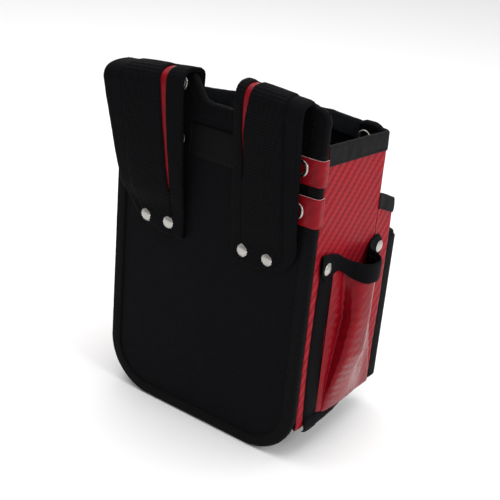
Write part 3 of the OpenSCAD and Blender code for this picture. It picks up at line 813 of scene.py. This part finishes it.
class Loop:
    """One belt loop, in coordinates a across (distance from the bag's middle) and s along the strap."""

    def __init__(self, side):
        self.side = side
        self.sign = SIGN[side]
        self.a0, bulge, top_in, top_out, self.corner = LOOPS[side]
        self.inner = loop_line(INNER_BULGE, top_in, CREST_SLOPE[side][0])
        self.outer = loop_line(bulge, top_out, CREST_SLOPE[side][1])
        self.along = distances(self.inner)
        self.length = self.along[-1]

    def points(self, a, s, lift):
        """Points for arrays a, s and lift (millimetres off the middle line, outwards)."""
        a, s, lift = np.broadcast_arrays(*[np.asarray(v, dtype=float) for v in (a, s, lift)])
        t = ((a - self.a0) / (LOOP_OUTER - self.a0))[..., None]

        def middle(at):
            return lerp(points_at(at, self.along, self.inner), points_at(at, self.along, self.outer), t)

        here = middle(s)
        here[..., 1] -= np.maximum(0.0, -s) + np.maximum(0.0, s - self.length)
        d = middle(s + 1.2) - middle(s - 1.2)
        n = unit(np.stack([d[..., 1], -d[..., 0]], axis=-1))
        sag = np.vectorize(lambda u, v: wobble(u, v, 0, 34.0, 5.0 + self.sign * 2))(a, s)
        sag = 0.7 * sag * np.clip((s - 12) / 30.0, 0, 1) * np.clip((self.length - s) / 30.0, 0, 1)
        out = here + n * (lift + sag)[..., None]
        return np.stack([self.sign * a, out[..., 0], out[..., 1]], axis=-1)

    def outer_a(self, s):
        drop = np.maximum(0.0, self.corner - s)
        return LOOP_OUTER - self.corner + np.sqrt(np.maximum(0.0, self.corner ** 2 - drop ** 2))

    def border_a(self, s):
        return np.maximum(self.outer_a(s) - lerp(13.0, 17.0, np.clip((s - 15) / 110.0, 0, 1)),
                          self.a0 + 21.0)

    def stripe(self, s):
        """Inner and outer edge of the red stripe at s along the strap."""
        at, inner, outer = zip(*STRIPES[self.side])
        return np.interp(s, at, inner), np.interp(s, at, outer)

    def strip(self, name, edges, columns, lift, material, rib_h=0.0, crown=0.0, step=0.33, top=None):
        """Surface between the two edges(s) at a lift off the middle line, ribbed across."""
        s = np.arange(0, top or self.length, step)[:, None]
        c = np.linspace(0, 1, columns)[None, :]
        a0, a1 = edges(s)
        a = a0 + (a1 - a0) * c
        ribs = rib_h * np.abs(np.sin(math.pi * s / WEB_RIB))
        edge = np.clip(np.minimum(c, 1 - c) * np.maximum(a1 - a0, 0.01) / 1.0, 0, 1)
        raised = (ribs + crown * np.sin(math.pi * c)) * edge - 0.4 * (1 - edge)
        rows = self.points(a, s + 0 * c, lift + raised)
        return grid(name, rows, material, flip=self.sign < 0, uv_swap=True)

    def outline(self):
        """Edge of the strap in (a, s): down its outer edge, round the corner and along the bottom."""
        r = self.corner
        path = [(LOOP_OUTER, s) for s in np.linspace(self.length, r, 300)]
        path += arc(LOOP_OUTER - r, r, r, 0, -1, 40)[1:]
        path += [(a, 0.0) for a in np.linspace(LOOP_OUTER - r, self.a0, 30)[1:]]
        path = np.array(path)
        dist = distances(path)
        return points_at(np.arange(0, dist[-1], 0.6), dist, path)

    def edge_band(self, name, path, inward, width, lift=1.75, seed=0.0):
        """Tape folded over an edge path in (a, s), reaching width inwards on the front and the back."""
        count = len(path)
        width = np.broadcast_to(np.asarray(width, dtype=float), (count,))
        section = [(1.0, lift - 0.5), (0.985, lift + 0.25)]
        section += [(t, lift + 0.45 + 0.3 * math.sin(math.pi * t)) for t in np.linspace(0.9, 0.22, 8)]
        front = len(section)
        turn = [(1.6 - 2.4 * math.cos(g), (lift + 0.45) * math.sin(g))
                for g in np.linspace(math.pi / 2, -math.pi / 2, 9)]
        back = [(t, -lift - 0.35) for t in np.linspace(0.25, 1.0, 4)]
        columns_a, columns_s, lifts = [], [], []
        dist = distances(path)
        for k, (w, h) in enumerate(section + turn + back):
            depth = w if front <= k < front + len(turn) else w * width
            p = path + inward * np.broadcast_to(np.asarray(depth), (count,))[:, None]
            lump = np.array([0.22 * wobble(d, w * 8.0, 0, 8.0, seed) for d in dist])
            columns_a.append(p[:, 0])
            columns_s.append(np.clip(p[:, 1], -3.0, self.length + 3.0))
            lifts.append(h + lump * (1 if h > 0 else -1))
        pts = self.points(np.array(columns_a).T, np.array(columns_s).T, np.array(lifts).T)
        return grid(name, pts, TAPE, flip=self.sign < 0, uv_swap=True)

    def seam(self, path, lift):
        """A stitching line: its points and the outward normals there."""
        path = np.array(path)
        at = self.points(path[:, 0], path[:, 1], lift)
        away = self.points(path[:, 0], path[:, 1], lift + 1.0)
        return at, away - at


def inward_2d(path):
    """Left-hand normals of a path in (a, s)."""
    t = tangents(path)
    return np.stack([t[:, 1], -t[:, 0]], axis=1)


def build_loop(side):
    loop = Loop(side)
    lining = loop.strip(side + "_loop_pvc", lambda s: (loop.a0 + 4.0 + 0 * s, loop.border_a(s) + 2),
                        20, -0.7, CARBON_STRIP, step=2.0, top=LOOP_FOLD - LOOP_BOTTOM)
    stand_for(thicken(lining, 1.0), "carbon_pvc", side + "_loop_lining")
    stripe = loop.strip(side + "_loop_stripe",
                        lambda s: (loop.stripe(s)[0] - 1.6, loop.stripe(s)[1] + 1.6),
                        8, 0.75, CARBON_STRIP, step=1.5)
    stand_for(thicken(stripe, 0.8), "carbon_pvc")
    wide = loop.strip(side + "_loop_web", lambda s: (loop.stripe(s)[1], loop.border_a(s) + 2.5),
                      24, 1.3, WEBBING, 0.5, crown=0.2)
    stand_for(thicken(wide, 1.7), "webbing", side + "_loop_webbing")
    narrow = loop.strip(side + "_loop_inner_web", lambda s: (loop.a0 + 0.4 + 0 * s, loop.stripe(s)[0]),
                        12, 1.2, WEBBING, 0.32, crown=0.1)
    stand_for(thicken(narrow, 1.6), "webbing", side + "_loop_inner_strip")

    path = loop.outline()
    inward = inward_2d(path)
    along = np.linspace(0, 1, len(path))
    width = np.array([lerp(9.0, loop.outer_a(p[1]) - loop.border_a(p[1]), smooth((p[1] - 2) / 22.0))
                      for p in path])
    border = loop.edge_band(side + "_loop_edge_tape", path, inward, width, seed=2.0)
    stand_for(border, "edge_tape", side + "_loop_border")
    s = np.arange(0.0, loop.length, 0.6)
    edge = np.stack([np.full(len(s), loop.a0 + 1.6), s], axis=1)
    hem = loop.edge_band(side + "_loop_inner_tape", edge, np.tile([1.0, 0.0], (len(s), 1)),
                         INNER_TAPE[side], lift=1.3, seed=5.0)
    stand_for(hem, "edge_tape")

    lines = [loop.seam(path + inward * (width - 1.5)[:, None], 2.55),
             loop.seam(path + inward * 3.2, 2.5)]
    front = s[(s > 6) & (s < loop.length - 30)]
    hem_a = np.full(len(front), loop.a0 + INNER_TAPE[side] - 1.2)
    lines.append(loop.seam(np.stack([hem_a, front], axis=1), 2.1))
    stitches(side + "_loop_stitches", lines)


# ------------------------------------------------------------------ rivets and eyelets

# Turned profile of a rivet cap: (radius, height)
CAP = [(0.001, 2.75), (1.4, 2.7), (2.8, 2.5), (4.0, 2.1), (5.0, 1.5), (5.7, 0.85), (6.1, 0.45),
       (6.35, 0.2), (6.3, -0.05), (5.9, -0.1)]
# Radii of an eyelet's hole and flange
EYELET_HOLE, EYELET_FLANGE = 4.0, 6.9


def flange_profile(r_hole, r_flange, depth):
    """Turned eyelet: a rounded flange that rolls into the barrel."""
    profile = [(r_flange - 0.15, -0.05), (r_flange, 0.25)]
    mid, half = (r_hole + r_flange) / 2, (r_flange - r_hole) / 2
    profile += [(mid + half * math.cos(a), 0.3 + 0.95 * math.sin(a)) for a in np.linspace(0.2, 2.6, 9)]
    profile += [(r_hole, 0.2), (r_hole, -depth * 0.5), (r_hole, -depth)]
    return profile


def build_fasteners():
    spots = [(centre[0], lo[1] + 0.3, centre[2]) for centre, lo, _ in islands("loop_rivet_caps")]
    stand_for(lathe("loop_rivet_domes", spots, (0, 1, 0), CAP, NICKEL), "nickel", "loop_rivet_caps")
    for owner in ("loop", "pocket"):
        repaint(owner + "_rivet_posts", STEEL)
        repaint(owner + "_rivet_washers", STEEL)
    for side, sign in SIGN.items():
        at = [((lo if sign > 0 else hi)[0], centre[1], centre[2])
              for centre, lo, hi in islands("pocket_rivet_caps") if centre[0] * sign > 0]
        domes = lathe(side + "_pocket_rivet_domes", at, (sign, 0, 0), CAP, NICKEL)
        stand_for(domes, "nickel", *(["pocket_rivet_caps"] if side == "near" else []))

    rings, backs = [], []
    for centre, lo, hi in islands("eyelet_barrels"):
        rings.append((centre[0], hi[1] - 0.8, centre[2]))
        backs.append((centre[0], lo[1] + 0.8, centre[2]))
    front = flange_profile(EYELET_HOLE, EYELET_FLANGE, 8.0)
    stand_for(lathe("eyelet_flanges", rings, (0, 1, 0), front, NICKEL), "nickel", "eyelet_barrels")
    back = flange_profile(EYELET_HOLE + 0.15, EYELET_FLANGE, 2.0)
    stand_for(lathe("eyelet_backs", backs, (0, -1, 0), back, NICKEL), "nickel", "eyelet_washers")


# ------------------------------------------------------------------ edge tabs


# How far the tabs stand off the panel's face, and their radius round its edge
TAB_OFF, TAB_R = 2.3, 4.6


def build_tabs():
    for node in ("upper_edge_tabs", "lower_edge_tabs"):
        for centre, lo, hi in islands(node):
            side = "far" if centre[0] > 0 else "near"
            sign = SIGN[side]
            inner = min(abs(lo[0]), abs(hi[0]))
            edge = HALF_W + TAPE_T + 0.8
            plan = [(x, TAB_OFF) for x in np.linspace(inner - 12, edge - TAB_R, 14)]
            plan += [(edge - TAB_R + TAB_R * math.sin(a), TAB_OFF - TAB_R + TAB_R * math.cos(a))
                     for a in np.linspace(0.15, math.pi / 2, 10)]
            plan += [(edge, y) for y in np.linspace(-3.2, PANEL_BACK - 1.2, 4)]
            rows = []
            for t in np.linspace(0, 1, 14):
                z = lerp(lo[2], hi[2], t)
                row = []
                for x, y in plan:
                    ease = 0.4 * wobble(x, y, z, 18.0, 6.0)
                    out = smooth((x - inner) / 30.0)
                    row.append((sign * (x + 0.2 * ease), y + ease * (1 - out) * 0.6, z))
                rows.append(row)
            name = side + "_" + node.replace("_edge_tabs", "_tab")
            tab = thicken(grid(name, rows, CARBON_STRIP, flip=sign > 0), 1.1, rim=CUT_EDGE)
            stand_for(tab, "carbon_pvc", *([node] if sign > 0 else []))


# ------------------------------------------------------------------ bag walls


def plan_line(half_w, back, depth, r):
    """U-shaped plan line (x, y) from the back of the near side round the front to the far side."""
    deep, wide = int((depth - back - r) / 2.5) + 2, int(2 * (half_w - r) / 2.5) + 2
    line = [(-half_w, y) for y in np.linspace(-back, -depth + r, deep)]
    line += arc(-half_w + r, -depth + r, r, 2, 3, 9)[1:]
    line += [(x, -depth) for x in np.linspace(-half_w + r, half_w - r, wide)[1:]]
    line += arc(half_w - r, -depth + r, r, 3, 4, 9)[1:]
    line += [(half_w, y) for y in np.linspace(-depth + r, -back, deep)[1:]]
    return line


def mouth_height(y, back, z_back, front, z_front):
    return lerp(z_back, z_front, clamp((-y - back) / (front - back)))


# Height of the main mouth along the front wall: (x, z) points
MOUTH_LINE = ((-100.0, 266.0), (-45.0, 270.0), (0.0, 268.5), (100.0, 258.0))


def main_mouth(x, y):
    front = float(np.interp(x, [p[0] for p in MOUTH_LINE], [p[1] for p in MOUTH_LINE]))
    return mouth_height(y, BAG_BACK, MOUTH_BACK, BAG_DEPTH, front)


def wall_rows(plan, mouth, sag, seed):
    """Rows from the bottom to mouth(x, y) over a plan line, with the slack of a sewn sheet."""
    rows = []
    inward = inward_2d(np.array(plan))
    for t in np.linspace(0, 1, 46):
        row = []
        for (x, y), (nx, ny) in zip(plan, -inward):
            z = lerp(BAG_BOTTOM, mouth(x, y), t)
            slack = sag * math.sin(math.pi * t) * wobble(x, y, z, 60.0, seed)
            slack += 0.25 * wobble(x, y, z, 16.0, seed + 3)
            row.append((x + nx * slack, y + ny * slack, z))
        rows.append(row)
    return rows


def split_plan(plan, half_w, r):
    """The near side, front and far side of a plan line; neighbours share their end points."""
    near = [p for p in plan if p[0] <= -half_w + r + 1e-6]
    front = [p for p in plan if -half_w + r - 1e-6 <= p[0] <= half_w - r + 1e-6 and p[1] < -20]
    far = [p for p in plan if p[0] >= half_w - r - 1e-6]
    return near, front, far


def build_wall(name, plan, mouth, sag, seed, node, cloth=CARBON, slot="carbon_pvc"):
    wall = grid(name, wall_rows(plan, mouth, sag, seed), cloth)
    stand_for(thicken(wall, WALL_T, inner=LINING), slot, node)


def build_base(name, half_w, back, front, count, node, sag=0.0):
    """Bottom between two depths, which sags in its middle."""
    half, depth = half_w - 2, front - back
    rows = [[(x, y, BAG_BOTTOM + 0.8 - sag * math.sin(math.pi * (x + half) / (2 * half))
              * math.sin(math.pi * (-y - back) / depth))
             for x in np.linspace(-half_w + 1.5, half_w - 1.5, 40)]
            for y in np.linspace(-front + 1.5, -back, count)]
    stand_for(thicken(grid(name, rows, NYLON), BASE_T, 1.0), "nylon", node)


# The default cloth is the mouth tapes' lighter black, which is painted light
def build_mouth_tape(name, plan, mouth, node, inset=0.9, half=0.8, width=POCKET_TAPE, cloth=PAINTED_LIGHT_MOUTH_CLOTH,
                     slot="edge_tape", step=1.2, **style):
    """Tape over a mouth; gives back its path and the outward direction at each point."""
    path = resample([(x, y, mouth(x, y)) for x, y in plan], step)
    t = tangents(path)
    out = unit(np.stack([t[:, 1], -t[:, 0], np.zeros(len(t))], axis=1))
    path = path - out * inset
    tape = edge_tape(name, path, (0, 0, -1), out, half, width, cloth, lump=0.3, **style)
    stand_for(tape, slot, node)
    return path, out


def build_bag():
    plan = plan_line(HALF_W, BAG_BACK, BAG_DEPTH, CORNER_R)
    near, front, far = split_plan(plan, HALF_W, CORNER_R)
    build_wall("near_gusset", near, main_mouth, 0.9, 2.0, "near_side_wall")
    build_wall("bag_front", front, main_mouth, 0.9, 2.0, "front_wall")
    build_wall("far_gusset", far, main_mouth, 0.9, 2.0, "far_side_wall")
    build_base("bag_base", HALF_W, BAG_BACK, BAG_DEPTH, 24, "bottom_panel", 1.2)
    # The mouth tape's inside face takes the lighter cloth above: painted light inside the bag's mouth
    path, out = build_mouth_tape("mouth_tape_painted_light", plan, main_mouth, "mouth_binding", 1.0, 1.0, MOUTH_TAPE,
                                 seed=8.0, inner=PAINTED_LIGHT_INNER_TAPE)
    line = path - np.array([0, 0, MOUTH_TAPE - 1.8])
    stitches("mouth_stitches", [(line + out * 2.1, out), (line - out * 2.1, -out)])


def build_second_pocket():
    plan = plan_line(HALF_W, SECOND_BACK, SECOND_FRONT, CORNER_R)

    def mouth(x, y):
        return mouth_height(y, SECOND_BACK, SECOND_MOUTH_BACK, SECOND_FRONT, SECOND_MOUTH)

    near, front, far = split_plan(plan, HALF_W, CORNER_R)
    near_lap = [(-x, -SECOND_BACK + y) for x, y in SECOND_LAP]
    far_lap = [(x, -SECOND_BACK + y) for x, y in SECOND_LAP[::-1]]
    build_wall("near_second_side", near_lap + near, mouth, 0.6, 5.0, "near_second_gusset")
    build_wall("second_front", front, mouth, 0.6, 5.0, "second_pocket_front")
    build_wall("far_second_side", far + far_lap, mouth, 0.6, 5.0, "far_second_gusset")
    build_base("second_base", HALF_W, SECOND_BACK, SECOND_FRONT, 10, "second_pocket_bottom")
    path, out = build_mouth_tape("second_mouth_tape", near_lap + plan + far_lap, mouth,
                                 "second_pocket_binding", seed=11.0)
    line = path - np.array([0, 0, POCKET_TAPE - 1.7])
    stitches("second_mouth_stitches", [(line + out * 1.9, out)])


# Plan of the webbing round the third pocket's upright edges: (y, distance off the side)
THIRD_EDGE = (
    (-THIRD_BACK + 0.3, 0.2), (-THIRD_BACK - 1, 1.0), (-THIRD_BACK - 4, 1.2), (-THIRD_FRONT + 4.0, 1.2),
    (-THIRD_FRONT + 0.6, 0.9), (-THIRD_FRONT - 0.9, -0.8), (-THIRD_FRONT - 1.2, -4.0),
    (-THIRD_FRONT - 1.1, -11.0), (-THIRD_FRONT - 0.4, -12.0),
)
# Plan of a divider's webbing: (x from its middle, distance off the front)
DIVIDER = ((-7, -0.3), (-6.4, 0.7), (-3, 0.9), (0, 0.6), (3, 0.9), (6.4, 0.7), (7, -0.3))


def build_third_pocket():
    plan = plan_line(THIRD_HALF, THIRD_BACK, THIRD_FRONT, 5.0)

    def mouth(x, y):
        return mouth_height(y, THIRD_BACK, THIRD_MOUTH_BACK, THIRD_FRONT, THIRD_MOUTH)

    build_wall("third_front", plan, mouth, 0.5, 7.0, "third_pocket_front", NYLON, "nylon")
    build_base("third_base", THIRD_HALF, THIRD_BACK, THIRD_FRONT, 8, "third_pocket_bottom")
    build_mouth_tape("third_mouth_tape", plan, mouth, "third_pocket_binding", cloth=RIB_TAPE,
                     slot="webbing", step=0.5, ribs=(0.3, TAPE_RIB), seed=13.0)
    for side, sign in SIGN.items():
        rows = []
        for z in np.arange(BAG_BOTTOM, THIRD_MOUTH - 2, 0.35):
            raised = 0.35 * rib(z, 2.2)
            rows.append([(sign * (THIRD_HALF + x + (raised if x > 0 else 0)),
                          y - (raised if x < 0 else 0), z) for y, x in THIRD_EDGE])
        edge = grid(side + "_third_edge_webbing", rows, RIB_TAPE, flip=sign > 0, uv_swap=True)
        stand_for(edge, "webbing")
    for k, (centre, _, _) in enumerate(islands("third_pocket_dividers")):
        rows = [[(centre[0] + x, -THIRD_FRONT - y - 0.25 * rib(z, TAPE_RIB), z) for x, y in DIVIDER]
                for z in np.arange(BAG_BOTTOM + 3, THIRD_MOUTH + 1, 0.4)]
        stand_for(grid("divider_webbing_%d" % k, rows, RIB_TAPE, uv_swap=True), "webbing")
    repaint("third_pocket_dividers", LINING)


def build_hanger():
    lo, hi = box_mm("hanger_strap")
    mid_x, half = (hi[0] + lo[0]) / 2, (hi[0] - lo[0]) / 2
    y_in, y_out = hi[1], lo[1]
    top = hi[2] - 3.4
    plan = [(y_in, z) for z in np.linspace(HANGER_END, top, 90)]
    cy, ry = (y_in + y_out) / 2, (y_in - y_out) / 2
    plan += [(cy + ry * math.cos(a), top + 2.9 * math.sin(a)) for a in np.linspace(0.1, math.pi - 0.1, 24)]
    plan += [(y_out, z) for z in np.linspace(top, lo[2], 110)]
    rows = []
    for (y, z), s in zip(plan, distances(plan)):
        raised = 0.15 * rib(s, TAPE_RIB)
        crest = smooth((z - top + 1) / 3.0)
        out = math.copysign(1 - crest, y - cy)
        row = []
        for t in np.linspace(-1, 1, 13):
            lift = raised - 0.5 * smooth((abs(t) - 0.85) / 0.15)
            droop = 1.6 * smooth((abs(t) - 0.45) / 0.55)
            row.append((mid_x + half * t, y + out * lift, z + crest * (lift - droop)))
        rows.append(row)
    strap = grid("hanger_strap_web", rows, WEBBING, flip=True, uv_swap=True)
    stand_for(thicken(strap, 1.5), "webbing", "hanger_strap")
    centre, _, high = islands("hanger_eyelet")[-1]
    ring = lathe("hanger_ring", [(centre[0], high[1] - 0.8, centre[2])], (0, 1, 0),
                 flange_profile(EYELET_HOLE - 0.3, EYELET_FLANGE - 1.0, 7.5), NICKEL)
    stand_for(ring, "nickel", "hanger_eyelet")


# ------------------------------------------------------------------ side pockets

# Plan of a side pocket at a few heights, as (distance from the panel, share of the bulge) points
POCKET_HEIGHTS = (BAG_BOTTOM, 60.0, 85.0, 120.0, POCKET_MOUTH)
POCKET_PLANS = (
    ((33.5, 0), (35, 0.01), (38, 0.03), (40, 0.04), (41, 0.05), (46, 0.07), (54, 0.09), (63, 0.1),
     (75, 0.09), (90, 0.06), (104, 0.01), (119, 0)),
    ((33.5, 0), (35.5, 0.04), (38.5, 0.09), (41, 0.12), (40.6, 0.26), (40.6, 0.4), (45, 0.51),
     (60, 0.56), (72, 0.52), (84, 0.36), (100, 0.07), (113, 0)),
    ((33.5, 0), (36.5, 0.06), (40.5, 0.14), (43.6, 0.17), (43, 0.4), (43, 0.66), (47, 0.82),
     (60, 0.88), (71, 0.85), (80, 0.6), (88, 0.28), (108, 0)),
    ((33.5, 0), (38.5, 0.07), (45, 0.17), (49.8, 0.2), (49.2, 0.48), (49.2, 0.76), (53, 0.93),
     (64, 1), (71, 0.97), (77, 0.68), (80.5, 0.28), (102, 0)),
    ((33.5, 0), (38, 0.03), (43, 0.05), (47, 0.1), (49.5, 0.26), (51.5, 0.5), (55, 0.82),
     (64, 0.98), (71, 0.95), (76.5, 0.72), (79.5, 0.28), (96, 0)),
)
# How far a pocket stands off where it is sewn on and at its fullest
POCKET_FLAT, POCKET_BOW = 1.4, 20.2
# Mouth band: (distance from the panel, stand-off, height of its top edge, width)
BAND = (
    (13.3, 1, 182.5, 15), (17, 1, 183, 20), (22, 1, 182, 24), (30, 1, 180.5, 19),
    (38, 1.4, 177.5, 14), (44, 2.8, 173.6, 13), (48.5, 7, 171, 14.5), (51.5, 13, 170, 16),
    (55.5, 18.6, 169.5, 17), (62.5, 21.2, 169.5, 17.5), (70.5, 20.8, 169.5, 17.5),
    (76.5, 17, 170, 17), (79.5, 11, 171, 16.5), (80.8, 5.5, 172, 16.5), (84.5, 2, 174, 17),
    (91, 1.2, 177.5, 19), (97, 1.2, 179, 21), (102, 1.2, 175.5, 18), (105, 1.2, 169, 9),
)
# Black hem folded under the pocket: (distance from the panel, low edge, high edge, stand-off)
FOOT = (
    (16.5, 23.2, 31, 0.6), (20, 22.8, 34.5, 1), (30, 23.2, 34, 1.4), (38, 24, 32.5, 1.6),
    (48, 25.4, 31.4, 2), (58, 26.8, 31.2, 2), (66, 28.4, 31.2, 1.4), (72, 30, 31.2, 0.8),
)
# Cross-section of the mouth band: (share of its width from its low edge, distance off its middle)
BAND_SECTION = (
    (0.0, -0.9), (0.02, 0.3), (0.08, 0.9), (0.3, 1.1), (0.5, 1.15), (0.7, 1.1), (0.9, 1.0), (0.98, 0.6),
    (1.01, -0.2), (0.98, -0.9), (0.85, -1.2), (0.5, -1.2), (0.15, -1.2),
)
# Cross-section of the hem: (share of its height, distance off its middle)
FOOT_SECTION = ((0.0, -0.4), (0.05, 0.6), (0.3, 1.1), (0.6, 1.2), (0.85, 1.0), (0.97, 0.5), (1.0, -0.3))
# Cross-section of the black strip: (share of its width, distance off the wall), and its top
STRIP_SECTION = ((0, 0.2), (0.05, 1.2), (0.3, 1.7), (0.6, 1.8), (0.93, 1.6), (1.0, 0.3))
STRIP_TOP = 165.0


def pocket_plan(z):
    """Plan of a side pocket at height z: (distance, stand-off) points along a smooth curve."""
    stack = np.array(POCKET_PLANS)
    level = np.array([[np.interp(z, POCKET_HEIGHTS, stack[:, i, k]) for k in range(2)]
                      for i in range(stack.shape[1])])
    path = curve_through(level, 9)
    return [(d, lerp(POCKET_FLAT, POCKET_BOW, clamp(share, 0, 1.1))) for d, share in path]


def build_side_pocket(side):
    sign = SIGN[side]
    rows = []
    for z in np.linspace(BAG_BOTTOM + 3.2, POCKET_MOUTH, 130):
        row = []
        for d, off in pocket_plan(z):
            slack = smooth((z - BAG_BOTTOM) / 25.0)
            ripple = 0.3 * math.sin(2 * math.pi * (z + 0.35 * d) / 8.0 + 2 * wobble(d, 0, z, 40.0, 1.7))
            ripple *= smooth((d - 38) / 8.0) * smooth((64 - d) / 12.0) * smooth((150 - z) / 20.0)
            crease = 0.8 * wobble(d, 0, z, 38.0, 4.4) + 0.12 * wobble(d, 5, z, 12.0, 6.1)
            lift = slack * (ripple + crease * smooth((off - 2.0) / 6.0))
            row.append((sign * (HALF_W + off + lift), -d, z))
        rows.append(row)
    body = grid(side + "_pocket_body", rows, CARBON_GLOSS, flip=sign > 0)
    stand_for(thicken(body, 1.2, inner=LINING), "carbon_pvc", side + "_side_pocket")

    path = curve_through(BAND, 10)
    rows = []
    for (d, off, high, wide), (nd, no) in zip(path, -inward_2d(path[:, :2])):
        row = []
        for a, b in BAND_SECTION:
            lift = b + 0.3 * wobble(d, off, a * 18, 8.0, 3.3)
            row.append((sign * (HALF_W + off + 1.0 + no * lift), -(d + nd * lift), high - wide * (1 - a)))
        rows.append(row)
    band = grid(side + "_pocket_mouth_band", rows, TAPE, closed=True, flip=sign > 0, uv_swap=True)
    stand_for(band, "edge_tape", side + "_pocket_band")

    bottom = box_mm(side + "_pocket_strip")[0][2]
    rows = []
    for z in np.linspace(bottom - 1, STRIP_TOP, 60):
        low = smooth((z - bottom) / 12.0)
        bow = 3.0 * math.sin(math.pi * clamp((z - 35.0) / 135.0))
        rear = bow - lerp(19.0, 16.0, low)
        front = 0.6 * bow - lerp(37.0, 34.5, smooth((z - bottom) / 8.0))
        row = []
        for t, off in STRIP_SECTION:
            off += 0.2 * wobble(t * 15, 0, z, 9.0, 6.6)
            row.append((sign * (HALF_W + off), lerp(rear, front, t), z))
        rows.append(row)
    strip = grid(side + "_pocket_edge_tape", rows, TAPE, flip=sign < 0, uv_swap=True)
    stand_for(strip, "edge_tape", side + "_pocket_strip")

    rows = []
    for d, low, high, off in curve_through(FOOT, 8):
        row = []
        for t, out in FOOT_SECTION:
            lift = out + 0.25 * wobble(d, 0, t * 12, 7.0, 8.8)
            row.append((sign * (HALF_W + off + lift), -d, lerp(low, high, t)))
        rows.append(row)
    hem = grid(side + "_pocket_foot", rows, TAPE, flip=sign > 0)
    stand_for(thicken(hem, 0.9), "edge_tape")


# ------------------------------------------------------------------ sheets of cloth

# Single sheets of cloth: (piece, how it is held, what it is sewn to)
SHEETS = (
    ("near_gusset", "stretched", "panel_outer_skin"), ("far_gusset", "stretched", "panel_outer_skin"),
    ("bag_front", "stretched", "bag_base"), ("second_front", "stretched", "second_base"),
    ("near_second_side", "stretched", "near_gusset"), ("far_second_side", "stretched", "far_gusset"),
    ("third_front", "stretched", "third_base"), ("near_pocket_body", "gathered", "near_gusset"),
    ("far_pocket_body", "gathered", "far_gusset"), ("panel_outer_skin", "stretched", "stiffener_board"),
    ("panel_inner_skin", "stretched", "stiffener_board"), ("hanger_strap_web", "hung", "bag_front"),
    ("near_loop_web", "hung", "panel_outer_skin"), ("far_loop_web", "hung", "panel_outer_skin"),
    ("near_loop_pvc", "hung", "near_loop_web"), ("far_loop_pvc", "hung", "far_loop_web"),
)


def declare_sheets():
    """Read the cloth coordinates of each listed sheet; nothing is done with them."""
    for name, held, rests in SHEETS:
        mesh = bpy.data.objects[name].data
        uv = np.zeros(len(mesh.loops) * 2)
        mesh.uv_layers["cloth"].data.foreach_get("uv", uv)


# ------------------------------------------------------------------ build

build_back_panel()
build_label()
for side in ("near", "far"):
    build_loop(side)
build_fasteners()
build_tabs()
build_bag()
build_second_pocket()
build_third_pocket()
build_hanger()
for side in ("near", "far"):
    build_side_pocket(side)
declare_sheets()
